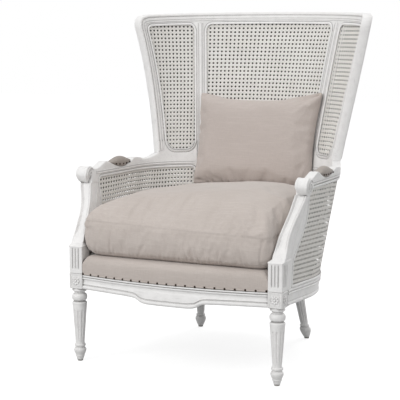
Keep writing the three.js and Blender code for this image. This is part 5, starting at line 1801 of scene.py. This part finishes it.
@dataclass
class Studio:
    """Camera, floor, lamps and a white surround."""

    camera_at: Triple = (1.7531, -3.8303, 1.0418)
    target: Triple = (-0.0554, -0.0859, 0.4966)
    roll: float = 0.07
    lens: float = 116.478
    sensor: float = 36.0
    lamps: tuple[tuple[str, Triple, float, float], ...] = (
        ("key", (-1.7, -3.9, 3.0), 2.2, 74), ("front", (0.5, -4.6, 2.2), 2.0, 26),
        ("fill", (3.6, -2.4, 1.8), 2.6, 9), ("top", (0.2, 0.6, 4.0), 2.4, 26),
        ("back", (0.9, 3.9, 2.0), 2.4, 40),
    )

    def camera(self) -> None:
        """Places the camera at the photograph's viewpoint."""
        made = bpy.data.cameras.new("camera")
        made.lens, made.sensor_width, made.clip_end = self.lens, self.sensor, 100
        eye = bpy.data.objects.new("camera", made)
        bpy.context.scene.collection.objects.link(eye)
        eye.location = self.camera_at
        ahead = Vector(self.target) - Vector(self.camera_at)
        turn = ahead.to_track_quat("-Z", "Y").to_matrix().to_4x4()
        eye.rotation_euler = turn.to_euler()
        eye.rotation_euler.rotate_axis("Z", math.radians(self.roll))
        bpy.context.scene.camera = eye

    def seen(self, tree: Tree) -> Socket:
        """Adds a measure that is 1 for what the camera, gloss and clear things see.

        Args:
            tree: Tree of the world.

        Returns:
            The measure's socket.
        """
        light = tree.node("ShaderNodeLightPath").outputs
        reflected = tree.math("MAXIMUM", light["Is Glossy Ray"], light["Is Transmission Ray"])
        return tree.math("MAXIMUM", reflected, light["Is Camera Ray"])

    def floor(self) -> None:
        """A plain pale floor that keeps the chair's shadow."""
        reach, low = 14.0, -0.0005
        mesh = bpy.data.meshes.new("floor")
        corners = ((-1, -1), (1, -1), (1, 1), (-1, 1))
        mesh.from_pydata([(x * reach, y * reach, low) for x, y in corners], [], [(0, 1, 2, 3)])
        floor = bpy.data.objects.new("floor", mesh)
        bpy.context.scene.collection.objects.link(floor)
        material = bpy.data.materials.new("floor_white")
        tree = emptied(material)
        paint = tree.node("ShaderNodeBsdfPrincipled", {
            "Base Color": (0.45, 0.45, 0.45, 1), "Roughness": 0.9, "Specular IOR Level": 0.1,
        })
        strength = tree.math("MULTIPLY", self.seen(tree), 0.78)
        glow = tree.node("ShaderNodeEmission", {"Color": (1, 1, 1, 1), "Strength": strength})
        both = tree.node("ShaderNodeAddShader", {0: paint.outputs[0], 1: glow.outputs[0]})
        tree.node("ShaderNodeOutputMaterial", {0: both.outputs[0]})
        mesh.materials.append(material)

    def world(self) -> None:
        """White where it is seen, dimmer where it lights."""
        world = bpy.data.worlds.new("surround")
        tree = emptied(world)
        strength = tree.span(self.seen(tree), 0.0, 1.0, 0.54, 1.0)
        glow = tree.node("ShaderNodeBackground", {"Color": (1, 1, 1, 1), "Strength": strength})
        tree.node("ShaderNodeOutputWorld", {0: glow.outputs[0]})
        bpy.context.scene.world = world

    def lamp(self, name: str, at: Triple, size: float, power: float) -> None:
        """A soft square lamp turned to the chair.

        Args:
            name: Its name.
            at: Its place, in metres.
            size: Its side, in metres.
            power: Its power, in watts.
        """
        made = bpy.data.lights.new(name, "AREA")
        made.size, made.energy, made.shape = size, power, "SQUARE"
        lamp = bpy.data.objects.new(name, made)
        lamp.location = at
        lamp.rotation_euler = (Vector((0, 0, 0.5)) - Vector(at)).to_track_quat("-Z", "Y").to_euler()
        bpy.context.scene.collection.objects.link(lamp)

    def build(self) -> None:
        """Builds the studio."""
        self.camera()
        self.floor()
        self.world()
        for lamp in self.lamps:
            self.lamp(*lamp)
        bpy.context.scene.view_settings.view_transform = "Standard"


# Upholstery


@dataclass
class Deck:
    """Nailed linen deck on the seat frame, with the row of nails along the front rail."""

    rail: SeatFrame = field(default_factory=SeatFrame)
    top: float = 345
    skirt: float = 283.6
    hem: float = 289.5
    margin: float = 3.5
    face: float = 0.7
    nail_radius: float = 3.5
    nail_height: float = 2.0
    nails: int = 21
    nail_level: float = 285
    row_reach: float = 311
    edge_reach: float = 314
    shoulder: Pair = (290, 320)
    fold: float = 60

    def outline(self, inset: float) -> Array:
        """Outline of the deck from one arm's block round to the other's.

        Args:
            inset: How far it is drawn in.

        Returns:
            Its x and y.
        """
        side, start = self.rail.reach - inset, self.rail.die_rear + inset
        x = np.linspace(0, side, 60)
        front = np.stack([x, self.rail.face_at(x) + self.face + inset], 1)
        y = np.linspace(front[-1, 1], start, 8)[1:]
        block = np.stack([np.full_like(y, side), y], 1)
        t = np.linspace(float(SHELL.angle_at(start + 10, self.shoulder[0])), 0, 100)
        z = SHELL.deck_level(t, self.shoulder[1])
        round_back = SHELL.points(t, z, SHELL.thickness + self.margin + inset)[:, :2]
        half = np.vstack([front, block, round_back])
        return np.vstack([half, (half[1:-1] * [-1, 1])[::-1]])

    def skin(self, draw: float = 0.0) -> Surface:
        """The stuffed form: a hem along the rail, a swelling front and a rounded upper edge.

        Args:
            draw: How far it is drawn in.

        Returns:
            Its surface.
        """
        rows = [(-1, 2.2), (-1, 0.0), (0.03, -0.3), (0.09, 0.1), (0.2, -1.2), (0.35, -2.3), (0.5, -2.6),
                (0.62, -2.0), (0.72, -0.6), (0.8, 1.6), (0.87, 4.6), (0.93, 8.6), (0.975, 13.6),
                (1.0, 20.0), (1.005, 40), (1.0, 90)]
        rings = []
        for share, inset in rows:
            plan = self.outline(max(inset, 0.0) + draw)
            front = np.clip((self.rail.face_at(plan[:, 0]) + 8 - plan[:, 1]) / 6, 0, 1)
            low = np.where(plan[:, 1] < -self.rail.face + 2, self.skirt, self.hem)
            end = bell(self.rail.reach - np.abs(plan[:, 0]), 11) * np.clip((22 - plan[:, 1]) / 14, 0, 1)
            z = low + draw + max(share, 0.0) * (self.top - 2 * draw - low - 13 * end)
            near_hem = float(bell(max(share, 0) - 0.06, 0.08))
            pucker = 0.35 * np.sin(plan[:, 0] / 4.7 + 2 * np.sin(plan[:, 0] / 37)) * near_hem
            swell = (min(inset, 0.0) * 0.6 + pucker) * front
            rings.append(np.stack([plan[:, 0], plan[:, 1] + swell, z - SHELL.deck_drop(plan[:, 1])], 1))
        return Surface.through(rings)

    def front_nails(self) -> Surface:
        """The linen's folded edge along the rail, and the nails through it.

        Returns:
            The surface of both.
        """
        made = Surface()
        x = np.linspace(-self.edge_reach, self.edge_reach, 121)
        band = ((0, 287.4), (-0.8, 287.2), (-1.3, 286), (-1.3, 284), (-0.8, 282.8), (0, 282.6))
        y = self.rail.face_at(x) - 0.2
        made.grid(np.stack([np.stack([x, y + a, np.full_like(x, z)], 1) for a, z in band], 1))
        made.slot = 1
        ahead = np.array([0.0, -1.0, 0.0])
        for place in np.linspace(-self.row_reach, self.row_reach, self.nails):
            foot = np.array([place, float(self.rail.face_at(place)) - 1.2, self.nail_level])
            nail_head(made, foot, ahead, self.nail_radius, self.nail_height)
        return made

    def build(self) -> None:
        """Builds the deck's cover and its nails."""
        piece = publish("deck_cover_dressed", self.skin(), [LINEN], ["deck_cover"],
                        crease=self.fold)
        publish("deck_foam_dressed", self.skin(3.0), [FOAM], ["deck_foam"], crease=self.fold)
        publish("front_nail_trim_dressed", self.front_nails(), [LINEN, NAIL_METAL],
                ["front_nail_trim"])


def nail_head(made: Surface, foot: Array, facing: Array, radius: float, height: float) -> None:
    """Adds the domed head of an upholstery nail.

    Args:
        made: Surface that it is added to.
        foot: Middle of its foot.
        facing: Direction that it faces.
        radius: Its radius.
        height: Its height.
    """
    side = np.cross(facing, UP)
    side /= np.linalg.norm(side)
    up = np.cross(side, facing)
    turn = np.linspace(0, 2 * math.pi, 12, endpoint=False)
    rings = []
    for share, rise in ((0.9, -0.6), (1.0, 0.1), (0.92, 0.45), (0.7, 0.78), (0.4, 0.95), (0.12, 1.0)):
        reach = radius * share
        rings.append(foot + (np.cos(turn) * reach)[:, None] * side + (np.sin(turn) * reach)[:, None] * up
                     + facing * height * rise)
    made.grid(np.array(rings))


@dataclass
class ArmPads:
    """Leaf-shaped upholstered pads let into the arm rails, with a few nails along each side."""

    arms: Arms = field(default_factory=Arms)
    crown: float = 19.5
    bulge: float = 3.4
    nails: int = 5
    ends: Pair = (0.09, 0.9)

    def share_at(self, along: float) -> float:
        """Share of the hollow's length at a share of the pad's own length."""
        return lerp(*self.ends, along)

    def top_at(self, along: float) -> float:
        """Height of the pad's crown at a share of its own length."""
        foot = float(self.arms.hollow(self.share_at(along))) + 1.5
        return foot + (self.arms.top + self.crown - foot) * math.sin(math.pi * along) ** 0.7

    def place(self, share: float) -> Pair:
        """Angle and height of the hollow under the pad at a share of its length."""
        foot = float(self.arms.hollow(share)) + 0.3
        return float(SHELL.angle_at(self.arms.pad_start + share * self.arms.pad_length, foot)), foot

    def surface(self) -> Surface:
        """The pad and its nails.

        Returns:
            The surface of both.
        """
        made = Surface()
        width = self.arms.thickness
        turn = np.linspace(math.radians(214), math.radians(-34), 25)
        rings = []
        for along in np.linspace(0.006, 0.994, 61):
            t, foot = self.place(self.share_at(along))
            top = self.top_at(along)
            full = math.sin(math.pi * along) ** 0.6
            across = width / 2 - np.cos(turn) * (width / 2 + self.bulge * full) * (0.5 + 0.5 * full)
            lift = np.clip((np.sin(turn) + 0.56) / 1.56, 0, 1) ** 0.9
            ring = SHELL.points(t, foot, across)
            crease = 0.5 * math.sin(along * 61) * bell(lift - 0.22, 0.12) * full
            ring[:, 2] = foot + lift * (top - foot)
            ring[:, 0] += crease
            rings.append(ring)
        made.grid(np.array(rings))
        made.slot = 1
        for k in range(self.nails):
            along = (k + 1) / (self.nails + 1)
            t, foot = self.place(self.share_at(along))
            level = foot + 0.3 * (self.top_at(along) - foot)
            for side in (-1, 1):
                at = SHELL.points(t, foot, -self.bulge * 0.9 if side < 0 else width + self.bulge * 0.9)
                at[2] = level - 2.0
                nail_head(made, at, np.array([float(-side), 0.0, 0.0]), 3.0, 1.8)
        return made

    def build(self) -> None:
        """Builds both pads."""
        finishes = [PAD_LINEN, NAIL_METAL]
        for piece in publish_pair("arm_pad", self.surface(), finishes, crease=60):
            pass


@dataclass
class Stuffing:
    """Swells a closed shape like stuffed cloth."""

    voxel: float = 0.0056
    pressure: float = 4.0
    growth: float = 0.03
    cap: float = 0.009
    frames: int = 20
    cloth: float = 4.0
    round_fold: float = 80

    def remesh(self, piece: Piece) -> None:
        """Gives a piece an even mesh and eases its facets.

        Args:
            piece: The piece.
        """
        even = piece.modifiers.new("even", "REMESH")
        even.mode, even.voxel_size = "VOXEL", self.voxel
        smooth = piece.modifiers.new("smooth", "SMOOTH")
        smooth.factor, smooth.iterations = 0.5, 14
        self.bake(piece)

    def bake(self, piece: Piece) -> None:
        """Applies a piece's modifiers.

        Args:
            piece: The piece.
        """
        graph = bpy.context.evaluated_depsgraph_get()
        made = bpy.data.meshes.new_from_object(piece.evaluated_get(graph))
        made.materials.clear()
        for material in piece.data.materials:
            made.materials.append(material)
        piece.modifiers.clear()
        piece.data = made

    def swell(self, piece: Piece, held: Callable[[Array], Array]) -> None:
        """Runs the simulation on a piece.

        Args:
            piece: The piece, evenly meshed.
            held: How firmly its seams hold each of the points, from 0 to 1.
        """
        start = points_of(piece)
        group = piece.vertex_groups.new(name="seams")
        firm = held(start)
        for i in np.flatnonzero(firm > 0.01):
            group.add([int(i)], float(firm[i]), "REPLACE")
        cloth = piece.modifiers.new("cloth", "CLOTH")
        settings = cloth.settings
        settings.quality, settings.mass = 4, 0.3
        settings.tension_stiffness = settings.compression_stiffness = 12
        settings.shear_stiffness, settings.bending_stiffness = 5, 0.6
        settings.use_pressure, settings.uniform_pressure_force = True, self.pressure
        settings.shrink_min = -self.growth
        settings.vertex_group_mass = "seams"
        settings.effector_weights.gravity = 0
        cloth.collision_settings.use_collision = False
        cloth.point_cache.frame_start, cloth.point_cache.frame_end = 1, self.frames
        scene = bpy.context.scene
        for step in range(1, self.frames + 1):
            scene.frame_set(step)
        graph = bpy.context.evaluated_depsgraph_get()
        ended = points_of(piece.evaluated_get(graph))
        piece.modifiers.clear()
        piece.vertex_groups.clear()
        scene.frame_set(1)
        move = ended - start
        length = np.linalg.norm(move, axis=1)[:, None]
        set_points(piece, start + move * np.minimum(1, self.cap / np.maximum(length, 1e-9)))

    def filling(self, name: str, cover: Piece, settle: Callable[[Piece], None],
                stands_for: str, body: str) -> None:
        """Makes a cushion's filling: the cover's shape, drawn in by the cloth's thickness.

        Args:
            name: Name of the filling.
            cover: The cover, before its refining.
            settle: Gives a mesh the cover's folds.
            stands_for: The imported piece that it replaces.
            body: The body that it moves with.
        """
        inner = bpy.data.objects.new(name, cover.data.copy())
        bpy.context.scene.collection.objects.link(inner)
        settle(inner)
        set_points(inner, points_of(inner) - normals_of(inner) * self.cloth * MM)
        inner.data.materials.clear()
        inner.data.materials.append(FOAM.material())
        soften(inner.data, self.round_fold, mend=False)
        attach(inner, body)
        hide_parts(stands_for)

    def finish(self, piece: Piece, settle: Callable[[Piece], None]) -> None:
        """Adds one subdivision to a cover, and then its folds.

        Args:
            piece: The cover.
            settle: Gives a mesh the cover's folds.
        """
        finer = piece.modifiers.new("finer", "SUBSURF")
        finer.levels = finer.render_levels = 1
        self.bake(piece)
        settle(piece)
        soften(piece.data, self.round_fold, mend=False)


def read(piece: Piece, key: str) -> Array:
    """Coordinates or directions of a piece's points.

    Args:
        piece: The piece.
        key: Name of the attribute.

    Returns:
        One row of three for each point.
    """
    values = np.empty(len(piece.data.vertices) * 3)
    piece.data.vertices.foreach_get(key, values)
    return values.reshape(-1, 3)


def points_of(piece: Piece) -> Array:
    """A piece's points, in metres."""
    return read(piece, "co")


def set_points(piece: Piece, co: Array) -> None:
    """Moves a piece's points."""
    piece.data.vertices.foreach_set("co", co.ravel())
    piece.data.update()


def normals_of(piece: Piece) -> Array:
    """Outward directions at a piece's points."""
    return read(piece, "normal")


def in_chair(co: Array) -> tuple[Array, Array, Array]:
    """Points in metres as x, y and z in the maker's millimetres."""
    return co[:, 0] / MM, (co[:, 1] - DEPTH_SHIFT) / MM, co[:, 2] / MM


def waves(co: Array, scale: float, seed: float) -> Array:
    """Soft irregular waves.

    Args:
        co: Points in metres.
        scale: How close the waves lie.
        seed: Shifts them.

    Returns:
        Their height at each point, between about -1 and 1.
    """
    total = np.zeros(len(co))
    ways = ((1.0, 0.37, 0.61), (-0.53, 1.0, 0.29), (0.41, -0.67, 1.0), (0.83, 0.59, -0.47))
    for k, (a, b, c) in enumerate(ways):
        bend = np.sin((co @ [c, a, b]) * scale * 0.6)
        total += np.sin((co @ [a, b, c]) * scale * (1 + 0.31 * k) + seed * (k + 1) + bend)
    return total / len(ways)


@dataclass
class SeatCushion:
    """Loose seat cushion: crowned, overhanging the rail, its lower seam drawn into puckers."""

    foot: float = 345.3
    seam: float = 0.63
    low_seam: float = 0.06
    height: float = 160
    skin: float = 2.4
    sink: float = 12.0
    tilt: float = 24.0
    overhang: float = 14.0
    front_reach: float = 329.0
    folds: tuple[Triple, ...] = (
        (-290, 3.4, 30), (-268, 4.0, 34), (-214, 4.6, 74), (-120, 2.6, 30), (-40, 2.4, 26),
        (52, 4.8, 56), (70, 5.4, 62), (88, 4.6, 46), (112, 3.0, 30), (150, 3.6, 44), (163, 4.2, 40),
        (216, 3.2, 30), (232, 5.0, 60), (250, 4.2, 52),
    )

    def level(self, co: Array) -> Array:
        """Height share of points in the cushion's side, in the fallen frame of the deck."""
        _, y, z = in_chair(co)
        return (z + SHELL.deck_drop(y) - self.foot) / self.height

    def held(self, co: Array) -> Array:
        """Firmness of the seams.

        Args:
            co: Points in metres.

        Returns:
            How firmly each point is held, from 0 to 1.
        """
        level = self.level(co)
        x, y, _ = in_chair(co)
        outside = np.clip((np.abs(x) - 240) / 40, 0, 1) + np.clip((30 - y) / 30, 0, 1)
        upper, lower = bell(level - self.seam_at(co), 0.03), bell(level - self.low_seam, 0.03)
        under = (level < 0.02).astype(float)
        return np.clip(np.maximum(np.maximum(upper, lower) * np.clip(outside, 0, 1) * 0.9, under), 0, 1)

    def seam_at(self, co: Array) -> Array:
        """Height share of the upper seam at points: a little higher on the sitter's right."""
        return self.seam - 0.05 * np.clip(co[:, 0] / 0.3, -1, 1)

    def pleats(self, along: Array, rise: Array) -> Array:
        """Relief of the short folds that start at the lower seam.

        Args:
            along: Places along the cushion's edge.
            rise: Heights over the seam.

        Returns:
            The relief at each place.
        """
        draw = np.random.default_rng(11)
        relief = np.zeros(len(along))
        small = [(float(at) + draw.uniform(-6, 6), 1.6, 22.0) for at in range(-300, 1300, 17)]
        for at, depth, length in [*self.folds, *small]:
            slant, width = draw.uniform(-0.28, 0.28), draw.uniform(3.6, 6.0)
            off = (along - at - slant * rise) / width
            fade = np.clip(1 - rise / length, 0, 1) ** 0.7 * (rise > -6)
            relief += depth * fade * (0.55 * bell(off - 1.5, 1) - bell(off, 1) + 0.3 * bell(off + 1.6, 1))
        return relief

    def settle(self, piece: Piece) -> None:
        """Draws the seams in, puckers the lower one, and keeps the cushion off its neighbours.

        Args:
            piece: The cover, or the filling.
        """
        co, out = points_of(piece), normals_of(piece)
        level = self.level(co)
        x, y, _ = in_chair(co)
        side = np.clip(1 - np.abs(out[:, 2]) * 1.15, 0, 1) ** 0.5
        along = np.where(y < 5, x, y * 1.7 + 320)
        upper = bell(level - self.seam_at(co), 0.018) * side
        lower = bell(level - self.low_seam, 0.03) * side
        ripple = self.pleats(along, (level - self.low_seam) * self.height) * side
        broad = waves(co, 17, 1.7) * 2.0 * np.clip(1.2 - side, 0.15, 1)
        fine = waves(co, 58, 4.1) * 0.4
        crease = -2.6 * bell((x - 235) * 0.8 + (y - 190) * 0.55, 13) * bell(np.hypot(x - 225, y - 190), 90)
        move = -1.5 * upper - 3.4 * lower + ripple + broad + fine + crease * (out[:, 2] > 0.4)
        below = np.clip(level * 8, 0, 1) * (level < self.seam_at(co))
        corner = bell(np.abs(x) - 288, 3.4) * (y < 8) * below
        bulge = self.overhang * bell(y + 14, 34) * np.clip((np.abs(x) - 255) / 55, 0, 1)
        bulge *= bell(level - 0.6, 0.32)
        co += out * (move - 2.8 * corner)[:, None] * MM
        co[:, 0] += np.sign(x) * bulge * MM
        co[:, 2] += 4.5 * bell(level, 0.05) * np.clip((6 - y) / 20, 0, 1) * MM
        share = np.clip((level - 0.3) / 0.6, 0, 1)
        co[:, 2] -= self.sink * np.clip((y - 240) / 220, 0, 1) ** 1.3 * share * MM
        co[:, 2] += self.tilt * x / 300 * np.clip((y - 10) / 120, 0, 1) * share * MM
        self.limit(co)
        set_points(piece, co)

    def limit(self, co: Array) -> None:
        """Keeps points inside the arms and the back, and on the deck.

        Args:
            co: Points in metres; they are moved.
        """
        x, y, z = in_chair(co)
        within = np.clip(z, 250, 700)
        inner = SHELL.points(SHELL.angle_at(y, within), within, SHELL.thickness + 1.6)[:, 0]
        level = np.clip(z, SHELL.rail_top, SUPPORT.joint)
        ahead = y < SUPPORT.at("front", level) - 2.5
        beside = np.minimum(inner, SUPPORT.at("outer", level) - SUPPORT.at("width", level) - 2.2)
        reach = np.where(ahead, self.front_reach, np.where(y < 165, beside, inner))
        co[:, 0] = np.clip(x, -reach, reach) * MM
        floor = self.foot - SHELL.deck_drop(y) - 0.1
        co[:, 2] = np.maximum(z, floor) * MM

    def build(self) -> None:
        """Builds the cushion from its filling's shape."""
        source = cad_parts["seat_cushion_insert"]
        piece = bpy.data.objects.new("seat_cushion_cover_dressed", source.data.copy())
        bpy.context.scene.collection.objects.link(piece)
        piece.data.materials.clear()
        piece.data.materials.append(LINEN.material())
        stuffing = Stuffing()
        stuffing.remesh(piece)
        set_points(piece, points_of(piece) + normals_of(piece) * self.skin * MM)
        stuffing.swell(piece, self.held)
        stuffing.filling("seat_cushion_insert_dressed", piece, self.settle, "seat_cushion_insert",
                         "seat_cushion")
        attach(piece, "seat_cushion")
        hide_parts("seat_cushion_cover")
        stuffing.finish(piece, self.settle)
        LOG.info("seat cushion: %d faces", len(piece.data.polygons))


@dataclass
class LumbarPillow:
    """Loose pillow that leans in the back on the seat cushion."""

    half: float = 218
    height: float = 162.5
    thick: float = 62
    level: float = 667.55
    lean: float = 11.5
    nip: float = 0.07
    blunt: float = 6.0
    edge: float = 2.0
    ahead: float = 63.6
    gathers: tuple[Triple, ...] = (
        (-150, 3.0, 34), (-128, 3.6, 40), (-92, 4.0, 44), (-70, 4.4, 50), (-40, 3.0, 34),
        (-14, 3.6, 40), (12, 3.4, 36), (52, 2.6, 30), (98, 3.4, 44), (140, 2.8, 34),
    )
    rays: tuple[Pair, ...] = ((0.5, 3.6), (0.72, 4.4), (1.0, 3.4))

    @property
    def depth(self) -> float:
        """Its middle's y."""
        return float(SHELL.points(0, self.level, SHELL.thickness + 3.5)[1]) - self.ahead

    def outline(self, u: Array, v: Array) -> tuple[Array, Array]:
        """Outline of its seam.

        Args:
            u: Shares of its half width.
            v: Shares of its half height.

        Returns:
            The places across and up.
        """
        x = self.half * u * (1 - self.nip * (1 - v**2))
        z = self.height * v * (1 - self.nip * (1 - u**2))
        up, right = (1 + v) / 2, (1 + u) / 2
        x = x + 9.0 * right**2 + 9.0 * right**3 * up**2
        z = z + 14.0 * right**6 * up**2 + 3.0 * (1 - right) ** 6 * up**2 - 7.0 * (1 - u**4) * up**3
        tip = (u * v) ** 14
        x = x - self.blunt * np.sign(u) * tip
        z = z - self.blunt * np.sign(v) * tip
        return x, z

    def surface(self, swell: float) -> Surface:
        """Its two cloths, sewn along the outline.

        Args:
            swell: Thickness as a share of the full one.

        Returns:
            The surface, in its place.
        """
        shares = (np.sin(np.linspace(-1, 1, count) * math.pi / 2) for count in (63, 47))
        u, v = np.meshgrid(*shares, indexing="ij")
        x, z = self.outline(u, v)
        puff = np.sqrt(np.clip((1 - u**4) * (1 - v**4), 0, 1)) ** 0.9
        made = Surface()
        for side in (-1, 1):
            y = side * (self.edge + (self.thick * swell - self.edge) * puff)
            made.grid(self.place(np.stack([x, y, z], -1)), looped=False)
        x, z = (np.concatenate([p[:, 0], p[-1, 1:], p[-2::-1, -1], p[0, -2:0:-1]]) for p in (x, z))
        rims = [np.stack([x, np.full_like(x, side * self.edge), z], -1) for side in (-1, 1)]
        made.grid(self.place(np.array(rims)), capped=False)
        return made

    def place(self, p: Array) -> Array:
        """Leans points of the pillow and sets them in the chair.

        Args:
            p: Points in the pillow's own directions.

        Returns:
            The points in the chair.
        """
        a = math.radians(-self.lean)
        y = p[..., 1] * math.cos(a) - p[..., 2] * math.sin(a)
        z = p[..., 1] * math.sin(a) + p[..., 2] * math.cos(a)
        return np.stack([p[..., 0], y + self.depth, z + self.level], -1)

    def local(self, co: Array) -> Array:
        """Points in the pillow's own directions.

        Args:
            co: Points in metres.

        Returns:
            The points, in millimetres.
        """
        a = math.radians(self.lean)
        x, y, z = in_chair(co)
        y, z = y - self.depth, z - self.level
        return np.stack([x, y * math.cos(a) - z * math.sin(a), y * math.sin(a) + z * math.cos(a)], 1)

    def held(self, co: Array) -> Array:
        """Firmness of the seam, which is all of the rim.

        Args:
            co: Points in metres.

        Returns:
            How firmly each point is held, from 0 to 1.
        """
        p = self.local(co)
        u, v = np.abs(p[:, 0]) / self.half, np.abs(p[:, 2]) / self.height
        rim = np.maximum(u / (1 - self.nip * (1 - v**2)), v / (1 - self.nip * (1 - u**2)))
        return np.clip((rim - 0.965) / 0.03, 0, 1)

    def settle(self, piece: Piece) -> None:
        """Adds the folds and keeps the pillow in front of the shell.

        Args:
            piece: The cover, or the filling.
        """
        co, out = points_of(piece), normals_of(piece)
        p = self.local(co)
        u, v = p[:, 0] / self.half, p[:, 2] / self.height
        front = np.clip(-out[:, 1] * 2, 0, 1)
        seam = bell(1 - np.maximum(np.abs(u), np.abs(v)), 0.16)
        run = np.where(np.abs(v) > np.abs(u), p[:, 0], p[:, 2])
        pace = 0.5 + 0.5 * np.sin(run / 47 + 0.7)
        puckers = np.sin(run / 6.5 + 2.1 * np.sin(run / 31)) * seam * pace * 1.7
        gathers = np.zeros(len(co))
        for at, depth, length in self.gathers:
            rise = p[:, 2] + self.height * 0.93
            off = (p[:, 0] - at - 0.22 * rise * np.sign(at)) / 5.0
            fade = np.clip(1 - rise / length, 0, 1) ** 0.8
            gathers += depth * fade * (0.5 * bell(off - 1.6, 1) - bell(off, 1))
        away_x, away_z = self.half * 1.04 - p[:, 0], self.height * 1.04 - p[:, 2]
        near = np.clip(1 - np.hypot(away_x, away_z) / 115, 0, 1) ** 0.6
        for turn, depth in self.rays:
            gathers -= depth * bell(away_x * math.sin(turn) - away_z * math.cos(turn), 6.5) * near
        corner = sum(
            bell(u - a, 0.28) * bell(v - b, 0.34) * size
            * np.sin(((p[:, 0] - a * self.half) * b * 0.7 - (p[:, 2] - b * self.height) * a * 0.9) / 11)
            for a, b, size in ((1, 1, 4.2), (-1, 1, 2.4), (1, -1, 2.0), (-1, -1, 2.8))
        )
        low = bell(v + 0.86, 0.12) * np.sin(p[:, 0] / 15 + np.sin(p[:, 0] / 39)) * 1.6
        broad = waves(co, 19, 0.6) * 2.4 + waves(co, 66, 2.9) * 0.5
        co += out * ((puckers + gathers + corner + low + broad) * front)[:, None] * MM
        self.limit(co)
        set_points(piece, co)

    def limit(self, co: Array) -> None:
        """Keeps points in front of the shell.

        Args:
            co: Points in metres; they are moved.
        """
        x, _, z = in_chair(co)
        inside = SHELL.thickness + 2.6
        half, depth = SHELL.value("half", z) - inside, SHELL.value("depth", z) - inside
        across = np.clip(x / half, -0.99, 0.99)
        back = SHELL.value("centre", z) + depth * np.sqrt(1 - across**2)
        co[:, 1] = np.minimum(co[:, 1], back * MM + DEPTH_SHIFT)

    def build(self) -> None:
        """Builds the pillow."""
        stuffing = Stuffing(pressure=3.0, cap=0.006)
        piece = publish("lumbar_pillow_cover_dressed", self.surface(0.9), [PILLOW_LINEN],
                        ["lumbar_pillow_cover"], "lumbar_pillow", stuffing.round_fold)
        stuffing.swell(piece, self.held)
        stuffing.filling("lumbar_pillow_insert_dressed", piece, self.settle, "lumbar_pillow_insert",
                         "lumbar_pillow")
        stuffing.finish(piece, self.settle)


PARTS = (Studio(), Legs(), SeatFrame(), Back(), Arms(), Cane(), Deck(), ArmPads(), SeatCushion(),
         LumbarPillow())


# The chair


def main() -> None:
    """Builds the chair piece by piece, and the studio round it."""
    logging.basicConfig(level=logging.INFO, format="%(name)s: %(message)s")
    for part in PARTS:
        part.build()
        LOG.info("%s built", type(part).__name__)


if __name__ == "__main__":
    main()
